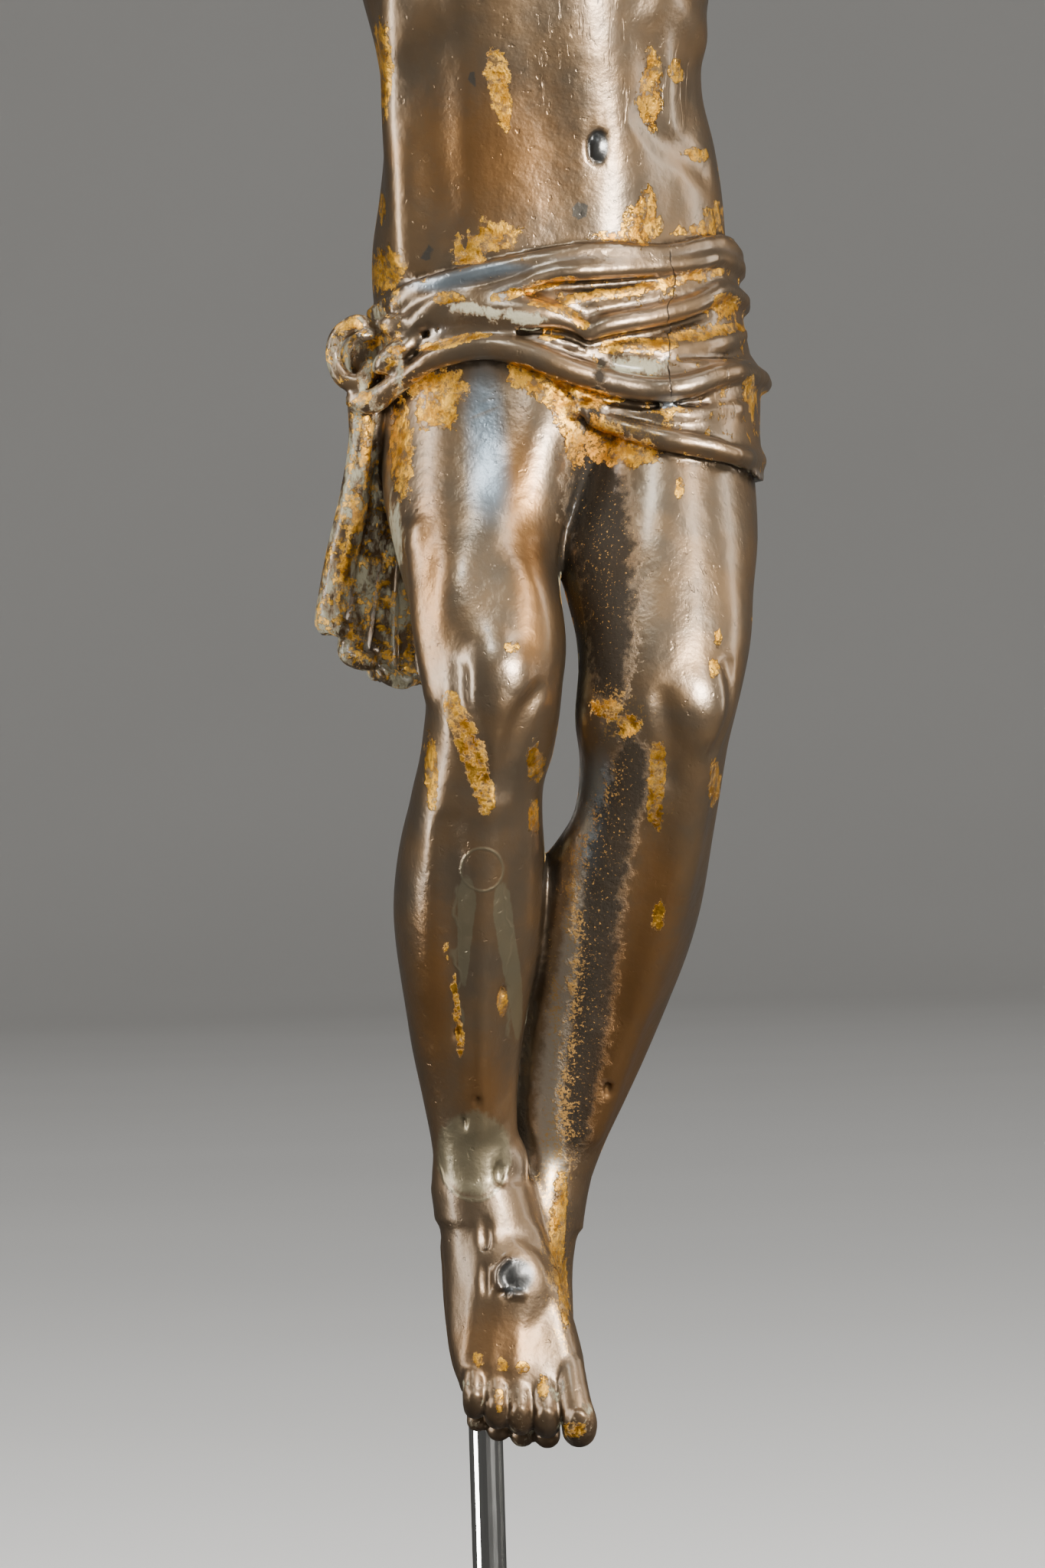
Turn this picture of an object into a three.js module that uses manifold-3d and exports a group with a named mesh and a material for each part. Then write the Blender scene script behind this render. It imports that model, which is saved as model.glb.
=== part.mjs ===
// A cast and gilt bronze corpus from a crucifix: a figure with raised arms, bowed head, knotted
// loincloth and feet laid one over the other, held upright on a round steel rod with a round foot.
// Units are millimetres, +Z is up, the figure faces -Y. The origin is the centre of the foot's
// underside, on the rod's axis.

import * as THREE from "three";
import { mergeVertices } from "three/addons/utils/BufferGeometryUtils.js";
import Module from "manifold-3d";

// Driving dimensions
const FIGURE_HEIGHT = 294; // from the big toe's tip to the top of the head
const CLOTH_THICKNESS = 1.3; // how far the loincloth stands off the skin
const FEET_NAIL_HOLE = 4.6; // across the drilled hole in the upper foot
const FEET_NAIL_DEPTH = 2.2;
const HAND_NAIL_HOLE = 2.6; // across the holes through the palms
const ROD_DIAMETER = 5;
const ROD_BEND_RADIUS = 7; // on the rod's centre line
const PEG_DEPTH = 9; // how far the bent end reaches into the figure's back
const SOCKET_CLEARANCE = 0.3; // around and in front of the rod in both of its sockets
const BACK_GAP = 1.5; // between the rod and the plane that touches the figure's back
const TOE_CLEARANCE = 34; // from the foot's top to the big toe
const ROD_FROM_CENTRE = [-14, 20]; // the rod stands behind the foot's centre, so that the figure is over it
const FOOT_DIAMETER = 120;
const FOOT_THICKNESS = 12;
const FOOT_EDGE_ROUND = 2.5;
const FOOT_COLLAR_DIAMETER = 16; // the raised boss that the rod stands in
const FOOT_COLLAR_HEIGHT = 6;
const FOOT_SOCKET_DEPTH = 13; // how far the rod goes down into the boss and the foot

// How the figure is worked out: it is carved at CARVED_HEIGHT on a grid of GRAIN and scaled
const CARVED_HEIGHT = 294;
const GRAIN = 1.5;
const FIGURE_FACES = 7400;
const ROUND_SIDES = 24;

const scale = FIGURE_HEIGHT / CARVED_HEIGHT;
const clothThickness = CLOTH_THICKNESS / scale;

// Small vector helpers on [x, y, z]
const add = (a, b) => [a[0] + b[0], a[1] + b[1], a[2] + b[2]];
const sub = (a, b) => [a[0] - b[0], a[1] - b[1], a[2] - b[2]];
const times = (a, k) => [a[0] * k, a[1] * k, a[2] * k];
const dot = (a, b) => a[0] * b[0] + a[1] * b[1] + a[2] * b[2];
const mix = (a, b, t) => a + (b - a) * t;

// A smooth curve through rows of numbers, with `steps` pieces between each two rows
function smoothRows(rows, steps) {
  const out = [];
  const last = rows.length - 1;
  for (let i = 0; i < last; i++) {
    const [p, q, r, s] = [rows[Math.max(i - 1, 0)], rows[i], rows[i + 1], rows[Math.min(i + 2, last)]];
    for (let k = 0; k < steps; k++) {
      const t = k / steps;
      out.push(q.map((_, j) => {
        const slopeQ = (r[j] - p[j]) / 2;
        const slopeR = (s[j] - q[j]) / 2;
        const h00 = 2 * t ** 3 - 3 * t ** 2 + 1;
        const h10 = t ** 3 - 2 * t ** 2 + t;
        return h00 * q[j] + h10 * slopeQ + (1 - h00) * r[j] + (t ** 3 - t ** 2) * slopeR;
      }));
    }
  }
  out.push(rows[last]);
  return out;
}

// Rows [key, value...] read at any key between the first and the last
function tableOf(rows) {
  const fine = smoothRows(rows, 8);
  return (key) => {
    let i = 1;
    while (i < fine.length - 1 && fine[i][0] < key) i++;
    const t = Math.min(1, Math.max(0, (key - fine[i - 1][0]) / (fine[i][0] - fine[i - 1][0])));
    return fine[i].map((v, j) => mix(fine[i - 1][j], v, t));
  };
}

// Shapes: each has a box {low, high} and a signed distance at(x, y, z), negative inside

// An ellipsoid. The turns are degrees about X, then Y, then Z
function ball(centre, radii, turns = [0, 0, 0]) {
  const turn = new THREE.Matrix4().makeRotationFromEuler(
    new THREE.Euler(...turns.map(THREE.MathUtils.degToRad), "ZYX"));
  const e = turn.elements;
  const reach = Math.max(...radii);
  return {
    low: sub(centre, [reach, reach, reach]),
    high: add(centre, [reach, reach, reach]),
    at(x, y, z) {
      const [dx, dy, dz] = [x - centre[0], y - centre[1], z - centre[2]];
      const u = (e[0] * dx + e[1] * dy + e[2] * dz) / radii[0];
      const v = (e[4] * dx + e[5] * dy + e[6] * dz) / radii[1];
      const w = (e[8] * dx + e[9] * dy + e[10] * dz) / radii[2];
      const k = Math.sqrt(u * u + v * v + w * w);
      const slope = Math.hypot(u / radii[0], v / radii[1], w / radii[2]);
      return k < 1e-6 ? -Math.min(...radii) : (k * (k - 1)) / slope;
    },
  };
}

// A round strand through rows [x, y, z, radius]. `flat` narrows it along a direction
function strand(rows, { steps = 4, flat = null } = {}) {
  const line = smoothRows(rows, steps);
  const reach = Math.max(...rows.map((r) => r[3]));
  const low = [0, 1, 2].map((j) => Math.min(...line.map((r) => r[j])) - reach);
  const high = [0, 1, 2].map((j) => Math.max(...line.map((r) => r[j])) + reach);
  const pieces = line.slice(1).map((end, i) => {
    const start = line[i];
    const along = sub(end, start);
    return { start, along, size: Math.max(dot(along, along), 1e-9), r0: start[3], dr: end[3] - start[3] };
  });
  return {
    low,
    high,
    at(x, y, z) {
      let best = 1e9;
      for (const { start, along, size, r0, dr } of pieces) {
        let [dx, dy, dz] = [x - start[0], y - start[1], z - start[2]];
        const t = Math.min(1, Math.max(0, (dx * along[0] + dy * along[1] + dz * along[2]) / size));
        dx -= along[0] * t;
        dy -= along[1] * t;
        dz -= along[2] * t;
        if (flat) {
          const push = (dx * flat.way[0] + dy * flat.way[1] + dz * flat.way[2]) * (flat.by - 1);
          dx += flat.way[0] * push;
          dy += flat.way[1] * push;
          dz += flat.way[2] * push;
        }
        best = Math.min(best, Math.sqrt(dx * dx + dy * dy + dz * dz) - r0 - dr * t);
      }
      return best;
    },
  };
}

// An upright form through level ellipses [z, centre x, centre y, half width, half depth, turn in degrees]
function upright(rows) {
  const section = tableOf(rows);
  const [bottom, top] = [rows[0][0], rows.at(-1)[0]];
  const reach = Math.max(...rows.map((r) => Math.max(r[3], r[4])));
  const cache = new Map();
  const sectionAt = (z) => {
    if (!cache.has(z)) {
      const [, cx, cy, a, b, turn] = section(z);
      const angle = THREE.MathUtils.degToRad(turn);
      cache.set(z, [cx, cy, a, b, Math.cos(angle), Math.sin(angle)]);
    }
    return cache.get(z);
  };
  return {
    low: [Math.min(...rows.map((r) => r[1])) - reach, Math.min(...rows.map((r) => r[2])) - reach, bottom],
    high: [Math.max(...rows.map((r) => r[1])) + reach, Math.max(...rows.map((r) => r[2])) + reach, top],
    at(x, y, z) {
      const level = Math.min(top, Math.max(bottom, z));
      const [cx, cy, a, b, c, s] = sectionAt(level);
      const u = ((x - cx) * c + (y - cy) * s) / a;
      const v = ((y - cy) * c - (x - cx) * s) / b;
      const k = Math.sqrt(u * u + v * v);
      const across = k < 1e-6 ? -Math.min(a, b) : (k * (k - 1)) / Math.hypot(u / a, v / b);
      const beyond = Math.max(bottom - z, z - top);
      return beyond > 0 ? Math.hypot(Math.max(across, 0), beyond) : Math.max(across, beyond);
    },
  };
}

// Clay: a grid of distances that shapes are pressed on to or out of, with a soft seam `blend` wide
class Clay {
  constructor(low, high, grain) {
    this.low = low;
    this.grain = grain;
    this.count = [0, 1, 2].map((j) => Math.ceil((high[j] - low[j]) / grain) + 1);
    this.field = new Float32Array(this.count[0] * this.count[1] * this.count[2]).fill(1e3);
  }

  copy() {
    const other = Object.assign(Object.create(Clay.prototype), this);
    other.field = this.field.slice();
    return other;
  }

  index(i, j, k) {
    return i + this.count[0] * (j + this.count[1] * k);
  }

  // Calls change(old distance, x, y, z) for each grid point in the box and keeps what it returns
  change(low, high, change) {
    const { grain, count, field } = this;
    const from = this.low.map((v, j) => Math.max(0, Math.ceil((low[j] - v) / grain)));
    const to = this.low.map((v, j) => Math.min(count[j] - 1, Math.floor((high[j] - v) / grain)));
    for (let k = from[2]; k <= to[2]; k++) {
      for (let j = from[1]; j <= to[1]; j++) {
        for (let i = from[0]; i <= to[0]; i++) {
          const n = this.index(i, j, k);
          field[n] = change(
            field[n], this.low[0] + i * grain, this.low[1] + j * grain, this.low[2] + k * grain);
        }
      }
    }
  }

  // 1 joins the shape, -1 carves it away
  press(shape, blend, side) {
    const margin = blend + 2 * this.grain;
    this.change(sub(shape.low, [margin, margin, margin]), add(shape.high, [margin, margin, margin]),
      (old, x, y, z) => {
        const own = shape.at(x, y, z);
        const over = Math.max(blend - Math.abs(side * old - own), 0) / blend;
        return side * (Math.min(side * old, own) - (over * over * blend) / 4);
      });
    return this;
  }

  join(shape, blend = 1) {
    return this.press(shape, blend, 1);
  }

  carve(shape, blend = 1) {
    return this.press(shape, blend, -1);
  }

  // The distance at any point, from the eight grid points around it
  at(p) {
    const g = p.map((v, j) => Math.min(this.count[j] - 1.001, Math.max(0, (v - this.low[j]) / this.grain)));
    const [i, j, k] = g.map(Math.floor);
    const [u, v, w] = [g[0] - i, g[1] - j, g[2] - k];
    const edge = (dj, dk) => mix(
      this.field[this.index(i, j + dj, k + dk)], this.field[this.index(i + 1, j + dj, k + dk)], u);
    return mix(mix(edge(0, 0), edge(1, 0), v), mix(edge(0, 1), edge(1, 1), v), w);
  }

  // The first point from `start` along `way` whose distance falls to `level`, or else the nearest
  touch(start, way, level, reach = 60) {
    let [best, least] = [start, Infinity];
    for (let far = 0; far < reach; far += this.grain / 4) {
      const p = add(start, times(way, far));
      const d = this.at(p);
      if (d < least) [best, least] = [p, d];
      if (d <= level) break;
    }
    return best;
  }

  // The closed surface where the distance is zero, as { positions, faces }. Each cube of the grid
  // is split into six four-cornered pieces round its long diagonal, which never leaves a gap
  surface() {
    const { field, low, grain } = this;
    const [nx, ny, nz] = this.count;
    const step = [1, nx, nx * ny];
    const paths = [[0, 1, 2], [1, 2, 0], [2, 0, 1], [0, 2, 1], [2, 1, 0], [1, 0, 2]];
    const place = (n) => [low[0] + (n % nx) * grain, low[1] + (Math.floor(n / nx) % ny) * grain,
      low[2] + Math.floor(n / step[2]) * grain];
    const positions = [];
    const faces = [];
    const seen = new Map();
    const crossing = (p, q) => {
      const key = Math.min(p, q) * 4 * step[2] + Math.abs(p - q);
      if (!seen.has(key)) {
        const t = Math.min(0.9, Math.max(0.1, field[p] / (field[p] - field[q])));
        const [from, to] = [place(p), place(q)];
        seen.set(key, positions.length);
        positions.push(from.map((v, j) => mix(v, to[j], t)));
      }
      return seen.get(key);
    };
    const face = (a, b, c, out) => {
      const [p, q, r] = [a, b, c].map((v) => positions[v]);
      const [u, v] = [sub(q, p), sub(r, p)];
      const normal = [u[1] * v[2] - u[2] * v[1], u[2] * v[0] - u[0] * v[2], u[0] * v[1] - u[1] * v[0]];
      faces.push(dot(normal, out) > 0 ? [a, b, c] : [a, c, b]);
    };
    for (let k = 0; k < nz - 1; k++) {
      for (let j = 0; j < ny - 1; j++) {
        for (let i = 0; i < nx - 1; i++) {
          const base = this.index(i, j, k);
          let inside = 0;
          for (let c = 0; c < 8; c++) {
            if (field[base + (c & 1) + (c & 2 ? nx : 0) + (c & 4 ? step[2] : 0)] < 0) inside++;
          }
          if (inside === 0 || inside === 8) continue;
          for (const [a, b] of paths) {
            const piece = [base, base + step[a], base + step[a] + step[b], base + 1 + nx + step[2]];
            const ins = piece.filter((n) => field[n] < 0);
            const outs = piece.filter((n) => field[n] >= 0);
            if (ins.length === 0 || outs.length === 0) continue;
            const out = sub(place(outs[0]), place(ins[0]));
            if (ins.length === 1) face(...outs.map((n) => crossing(ins[0], n)), out);
            else if (outs.length === 1) face(...ins.map((n) => crossing(n, outs[0])), out);
            else {
              const [p, q] = [crossing(ins[0], outs[0]), crossing(ins[0], outs[1])];
              const [r, s] = [crossing(ins[1], outs[1]), crossing(ins[1], outs[0])];
              face(p, q, r, out);
              face(p, r, s, out);
            }
          }
        }
      }
    }
    return { positions, faces };
  }
}

// Keeps only the largest connected part of a surface
function largestPart({ positions, faces }) {
  const parent = positions.map((_, i) => i);
  const find = (i) => {
    while (parent[i] !== i) i = parent[i] = parent[parent[i]];
    return i;
  };
  for (const [a, b, c] of faces) {
    parent[find(a)] = find(b);
    parent[find(b)] = find(c);
  }
  const sizes = new Map();
  for (const [a] of faces) sizes.set(find(a), (sizes.get(find(a)) ?? 0) + 1);
  const biggest = [...sizes].sort((a, b) => b[1] - a[1])[0][0];
  return { positions, faces: faces.filter(([a]) => find(a) === biggest) };
}

// Fewer faces for the same form: the edge whose loss changes the surface least goes first
function simplify({ positions, faces }, wanted) {
  const at = positions.map((p) => p.slice());
  const tri = faces.map((f) => f.slice());
  const around = at.map(() => new Set());
  const error = at.map(() => new Float64Array(10));
  const version = new Int32Array(at.length);
  const normalOf = (p, q, r) => {
    const [u, v] = [sub(q, p), sub(r, p)];
    return [u[1] * v[2] - u[2] * v[1], u[2] * v[0] - u[0] * v[2], u[0] * v[1] - u[1] * v[0]];
  };
  tri.forEach((f, t) => {
    const normal = normalOf(...f.map((v) => at[v]));
    const size = Math.hypot(...normal) || 1e-12;
    const [a, b, c] = normal.map((v) => v / size);
    const d = -dot([a, b, c], at[f[0]]);
    const plane = [a * a, a * b, a * c, a * d, b * b, b * c, b * d, c * c, c * d, d * d];
    for (const v of f) {
      around[v].add(t);
      plane.forEach((q, i) => (error[v][i] += q * size));
    }
  });
  const cost = (q, [x, y, z]) =>
    q[0] * x * x + 2 * q[1] * x * y + 2 * q[2] * x * z + 2 * q[3] * x + q[4] * y * y +
    2 * q[5] * y * z + 2 * q[6] * y + q[7] * z * z + 2 * q[8] * z + q[9];
  const near = (v) => {
    const found = new Set();
    for (const t of around[v]) for (const w of tri[t]) if (w !== v) found.add(w);
    return found;
  };
  const plan = (a, b) => {
    const q = error[a].map((v, i) => v + error[b][i]);
    const middle = times(add(at[a], at[b]), 0.5);
    const det = q[0] * (q[4] * q[7] - q[5] * q[5]) - q[1] * (q[1] * q[7] - q[5] * q[2]) +
      q[2] * (q[1] * q[5] - q[4] * q[2]);
    const options = [middle, at[a], at[b]];
    if (Math.abs(det) > 1e-7) {
      const [r0, r1, r2] = [-q[3], -q[6], -q[8]];
      const best = [
        (r0 * (q[4] * q[7] - q[5] * q[5]) - q[1] * (r1 * q[7] - q[5] * r2) + q[2] * (r1 * q[5] - q[4] * r2)) / det,
        (q[0] * (r1 * q[7] - q[5] * r2) - r0 * (q[1] * q[7] - q[5] * q[2]) + q[2] * (q[1] * r2 - r1 * q[2])) / det,
        (q[0] * (q[4] * r2 - r1 * q[5]) - q[1] * (q[1] * r2 - r1 * q[2]) + r0 * (q[1] * q[5] - q[4] * q[2])) / det,
      ];
      const length = Math.hypot(...sub(at[a], at[b]));
      if (Math.hypot(...sub(best, middle)) < 2 * length) options.unshift(best);
    }
    const point = options.reduce((x, y) => (cost(q, y) < cost(q, x) ? y : x));
    const length2 = dot(sub(at[a], at[b]), sub(at[a], at[b]));
    return { a, b, q, point, price: cost(q, point) + 1e-5 * length2, va: version[a], vb: version[b] };
  };

  // A heap of planned collapses, cheapest on top
  const heap = [];
  const put = (item) => {
    let i = heap.push(item) - 1;
    while (i > 0 && heap[(i - 1) >> 1].price > item.price) {
      heap[i] = heap[(i - 1) >> 1];
      i = (i - 1) >> 1;
    }
    heap[i] = item;
  };
  const take = () => {
    const top = heap[0];
    const item = heap.pop();
    if (heap.length === 0) return top;
    let i = 0;
    for (;;) {
      let child = 2 * i + 1;
      if (child + 1 < heap.length && heap[child + 1].price < heap[child].price) child++;
      if (child >= heap.length || heap[child].price >= item.price) break;
      heap[i] = heap[child];
      i = child;
    }
    heap[i] = item;
    return top;
  };
  const turnsOver = (v, gone, point) => {
    for (const t of around[v]) {
      if (tri[t].includes(gone)) continue;
      const before = normalOf(...tri[t].map((w) => at[w]));
      const after = normalOf(...tri[t].map((w) => (w === v ? point : at[w])));
      const sizes = Math.hypot(...before) * Math.hypot(...after);
      if (dot(before, after) < 0.25 * sizes || sizes < 1e-12) return true;
    }
    return false;
  };

  for (const [a, b, c] of tri) for (const [p, q] of [[a, b], [b, c], [c, a]]) if (p < q) put(plan(p, q));
  let left = tri.length;
  while (left > wanted && heap.length) {
    const { a, b, q, point, va, vb } = take();
    if (version[a] !== va || version[b] !== vb) continue;
    const nearB = near(b);
    const shared = [...near(a)].filter((v) => nearB.has(v));
    if (shared.length !== 2 || turnsOver(a, b, point) || turnsOver(b, a, point)) continue;
    for (const t of [...around[b]]) {
      if (tri[t].includes(a)) {
        for (const v of tri[t]) around[v].delete(t);
        tri[t] = null;
        left--;
      } else {
        tri[t] = tri[t].map((v) => (v === b ? a : v));
        around[a].add(t);
      }
    }
    around[b].clear();
    at[a] = point;
    error[a] = q;
    version[a]++;
    version[b]++;
    for (const v of near(a)) put(plan(a, v));
  }
  const used = new Map();
  const keptFaces = tri.filter(Boolean).map((f) => f.map((v) => {
    if (!used.has(v)) used.set(v, used.size);
    return used.get(v);
  }));
  return { positions: [...used.keys()].map((v) => at[v]), faces: keptFaces };
}

// The figure, carved in its own frame: x from the rod's axis, y from the plane that touches its
// back, z from the tip of the big toe. Its right side is at low x

const torso = upright([
  [141, 16.8, -21, 21, 12, 3],
  [147, 16.2, -20.5, 25.2, 15.8, 4],
  [157, 15.6, -20, 25.6, 16.8, 6],
  [166.5, 14.6, -20, 26, 16.4, 9],
  [173.5, 14.4, -20.5, 25.9, 15.6, 12],
  [180.6, 14.8, -21, 25.3, 15.2, 15],
  [187.6, 14.8, -21.5, 24.5, 15, 17],
  [195, 14.1, -22, 23.6, 15.4, 17],
  [202, 13.8, -22.5, 24, 16.4, 16],
  [209, 13.6, -22.8, 25.3, 17.2, 14],
  [217, 13.4, -22.6, 27, 17.8, 12],
  [226, 13.1, -22, 28.6, 17.8, 10],
  [235, 12.8, -20.8, 28.6, 17, 8],
  [243, 12.4, -19.5, 26.5, 15, 6],
  [249, 12, -18.5, 19, 11.5, 4],
  [254, 11.4, -18.5, 10, 8.5, 0],
]);

const rightLeg = upright([
  [34, 0.6, -21, 6.6, 6.4, 0],
  [43.5, -0.1, -22, 6.2, 6.3, 0],
  [51.3, -0.7, -23.5, 6.8, 6.9, 0],
  [59.2, -0.9, -25.5, 8, 8, 0],
  [68.3, -0.5, -28, 9.4, 9.6, 0],
  [78.2, -0.1, -31, 10.4, 11, 0],
  [86.9, 0.7, -34.5, 10.2, 10.8, 0],
  [95.3, 1.7, -38, 9.4, 9.8, 0],
  [100.6, 3.2, -40.5, 9.5, 9.4, 0],
  [106.7, 4.3, -42.5, 9.6, 9.6, 0],
  [111, 4.8, -43, 9.3, 9.8, 0],
  [115.5, 4.8, -42, 9.6, 10.4, 0],
  [123.4, 3.5, -37.5, 10.9, 11.8, 0],
  [131.2, 2.9, -32.5, 12.2, 13.4, 0],
  [138.6, 3.6, -27.5, 14.2, 14.6, 0],
  [147.4, 4.5, -23, 14.8, 15, 0],
  [156, 4.6, -20.5, 13.6, 14, 0],
]);

const leftLeg = upright([
  [31.6, 9.4, -11.5, 5.4, 5.4, 0],
  [36.2, 10.1, -12, 5.5, 5.6, 0],
  [43.2, 11.1, -13.5, 7.2, 6, 0],
  [50.2, 12.7, -15.5, 9.1, 6.8, 0],
  [57.2, 14.9, -17.5, 10.3, 7.8, 0],
  [67.7, 18.2, -21.5, 11.6, 9.4, 0],
  [76.4, 21.1, -25.5, 11.6, 10.6, 0],
  [85.2, 23.3, -29.5, 11.4, 10.6, 0],
  [92.2, 25.8, -33, 10.3, 10, 0],
  [98.3, 26.8, -36, 10.4, 9.8, 0],
  [104.8, 27.4, -38.5, 11.1, 10.2, 0],
  [109.7, 28.1, -38.5, 11.5, 10.8, 0],
  [116.7, 28.9, -36, 12.4, 11.8, 0],
  [123.8, 28.6, -32.5, 13.6, 13.2, 0],
  [130.4, 28.4, -29, 14.6, 14.6, 0],
  [137.8, 29.2, -25, 13.8, 15.6, 0],
  [146.6, 29.8, -21.5, 12.8, 15.6, 0],
  [155, 30, -20, 12.6, 14.6, 0],
]);

// The upper foot hangs toes down in front of the lower one
const upperFoot = upright([
  [9, 5.8, -26.6, 9, 3.6, 5],
  [13, 5.2, -25.8, 9.4, 4.4, 5],
  [18.6, 4.2, -24, 9.2, 5.2, 4],
  [25.6, 3.1, -22.8, 8.2, 6.2, 2],
  [31, 1.9, -21.8, 7.4, 6.6, 0],
  [38, 0.8, -21.2, 6.6, 6.6, 0],
]);
const lowerFoot = upright([
  [6, 5, -15.5, 7, 3.6, 0],
  [12, 4.4, -14.2, 8.8, 4.2, 0],
  [18.6, 4, -12.8, 9.3, 4.8, 0],
  [25.6, 3.9, -11.6, 9.5, 5.4, 0],
  [32, 4.6, -11.2, 9.8, 5.6, 0],
  [38, 7.6, -12, 7.6, 5.6, 0],
]);

// Muscles and bones that show under the skin: [shape, seam]
const trunkForms = [
  // chest, from breastbone to armpit
  [ball([0.5, -31.6, 231], [12.5, 5.6, 8.6], [0, -10, -12]), 6],
  [ball([26.5, -31.6, 230.5], [12.5, 5.6, 8.6], [0, 10, 20]), 6],
  // shoulder blades and seat
  [ball([-2, -10.5, 229], [9, 5, 12], [0, 12, 0]), 5],
  [ball([27, -10.5, 229], [9, 5, 12], [0, -12, 0]), 5],
  [ball([4.5, -13.5, 152], [13, 10.5, 13]), 5],
  [ball([28.5, -13.5, 151], [13, 10.5, 13]), 5],
];
// Laid on the skin: rows [x, z, radius], how deep the middle of the strand sinks, seam
const trunkStrands = [
  // edge of the rib cage
  [[[17, 216.5, 2], [9, 213, 2], [1.5, 208, 1.8], [-4.5, 204, 1.4]], 2, 5],
  [[[22.5, 216.5, 2], [28.5, 212.5, 2], [32.6, 207, 1.8], [35, 203, 1.4]], 2, 5],
  // the belly's long swell, and the muscle beside it on the left
  [[[19.4, 214, 6], [20.2, 200, 7], [21.4, 187, 7], [21.4, 174, 6]], 6, 5],
  [[[28.6, 206, 2], [30.4, 198, 2], [30.2, 190, 1.6]], 2.4, 4],
  // right flank
  [[[-5.8, 208, 2], [-6.2, 194, 2.2], [-5.6, 184, 2.2], [-5.4, 172, 1.8]], 1.5, 3.5],
];
const trunkHollows = [
  // breastbone and spine
  [strand([[18.5, -41.5, 238, 1.5], [19, -42.5, 228, 1.6], [19.6, -42, 218, 1.5]]), 4],
  [strand([[13, -2.4, 240, 1.6], [12.5, -2.6, 215, 1.9], [13.2, -4.2, 190, 2], [15.5, -1.6, 168, 1.6]]), 4],
];
const legForms = [
  // right knee: cap, inner and outer heads of the thigh muscle, tendon and shin
  [ball([5, -50.1, 111.6], [4.4, 3.2, 5]), 2.4],
  [ball([9.2, -43, 119], [4.2, 5.4, 9], [0, -8, 0]), 4],
  [ball([-1, -43, 119.5], [4.2, 5.6, 10], [0, 8, 0]), 4],
  [strand([[5, -50.6, 107, 1.7], [4.2, -48.2, 100.5, 2], [3.2, -45.4, 94, 2]]), 2.6],
  [strand([[3.4, -45.4, 95, 2], [2.2, -40.6, 80, 2], [0.8, -34.2, 63, 1.8], [0.4, -28.2, 48, 1.6]]), 3],
  [ball([-3.9, -30, 80], [5, 8.6, 16]), 4],
  [ball([4.9, -28.4, 82], [5, 8.6, 14]), 4],
  [ball([10.2, -30.5, 140.5], [7, 9.4, 14], [0, 12, 0]), 5],
  [ball([5.2, -21.6, 41.6], [2, 2.6, 3.2]), 2.4],
  [ball([-3.8, -21.4, 39.2], [2, 2.6, 3]), 2.4],
  [ball([0.8, -15.2, 36.5], [4.4, 4, 6]), 3],
  [ball([8.2, -6.6, 34.5], [4.8, 4, 6.5]), 3],
  // left knee and lower leg
  [ball([34, -44.6, 106.8], [4.6, 3.6, 5.4], [0, 0, 35]), 2.6],
  [ball([25, -41, 113.4], [5, 5, 8.6], [0, -8, 0]), 4],
  [ball([21.6, -39.6, 105.8], [4.6, 6, 7]), 2.6],
  [ball([34.6, -36.4, 114.6], [4.4, 6, 11], [0, 6, 20]), 4],
  [strand([[33.6, -43.8, 101.6, 1.9], [32.2, -40.6, 94, 2.2], [29.6, -34.8, 81, 2], [22.8, -25.8, 62, 1.8],
    [16.4, -18.6, 46, 1.5]]), 3.4],
  [ball([16.8, -24.6, 79], [6.2, 9, 13], [0, 16, 0]), 4],
  [ball([26.6, -25.4, 80], [4.8, 8, 15], [0, 14, 0]), 4],
  [ball([12.4, -12.6, 36.4], [2, 3, 3]), 2],
  [ball([8.6, -16.5, 30], [4.2, 4.6, 13], [0, 6, 0]), 2.4],
];

// Toes of the upper foot, little toe first: [root x, tip x, tip z, radius]
const upperToes = [[-1.4, -1.3, 7.2, 1.75], [1.7, 1.9, 5.8, 1.95], [5, 5.2, 4.9, 2], [8.6, 8.9, 4.4, 2.05],
  [12.4, 13.6, 3.5, 2.6]];
const lowerToes = [[-0.6, -1, 4.6, 1.6], [2.4, 2, 3.2, 1.7], [5.6, 5.4, 2.4, 1.8], [9, 9, 2.2, 1.9]];
const toeForms = [
  ...upperToes.map(([root, tip, z, r]) => strand([
    [root, -27, 12.4, r * 0.85], [mix(root, tip, 0.5), -29.2, z + 4, r * 0.92], [tip, -29.6, z + 1, r],
    [tip, -27.6, z - 0.4, r * 0.95]])),
  ...lowerToes.map(([root, tip, z, r]) => strand([
    [root, -16.5, 9.6, r], [mix(root, tip, 0.6), -19.4, z + 2.6, r], [tip, -22.4, z, r]])),
];

// Arms, from the shoulder: rows [x, y, z, radius]
const rightArm = [
  strand([[-6, -19, 238, 10.4], [-17, -18, 245.5, 8.8], [-29, -16.6, 252, 7.2], [-41, -14.6, 259, 6.9],
    [-54, -12.8, 266.6, 5.6], [-60, -12.2, 270, 5.5]]),
  strand([[-60, -12.4, 270, 5.4], [-68, -11.4, 275, 5.8], [-80, -9.6, 281.4, 4.9], [-93, -7.8, 287.6, 3.5],
    [-101, -6.8, 291, 3.2]]),
];
const leftArm = [
  strand([[31, -19, 238, 10.4], [42, -18, 245.5, 8.8], [54, -16.6, 251.6, 7.2], [66, -14.6, 258, 6.9],
    [79, -12.8, 265, 5.6], [85, -12.2, 268.4, 5.5]]),
  strand([[85, -12.4, 268.4, 5.4], [93, -11.4, 273, 5.8], [105, -9.6, 279.6, 4.9], [118, -7.8, 286, 3.5],
    [126, -6.8, 289.4, 3.2]]),
];
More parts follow.
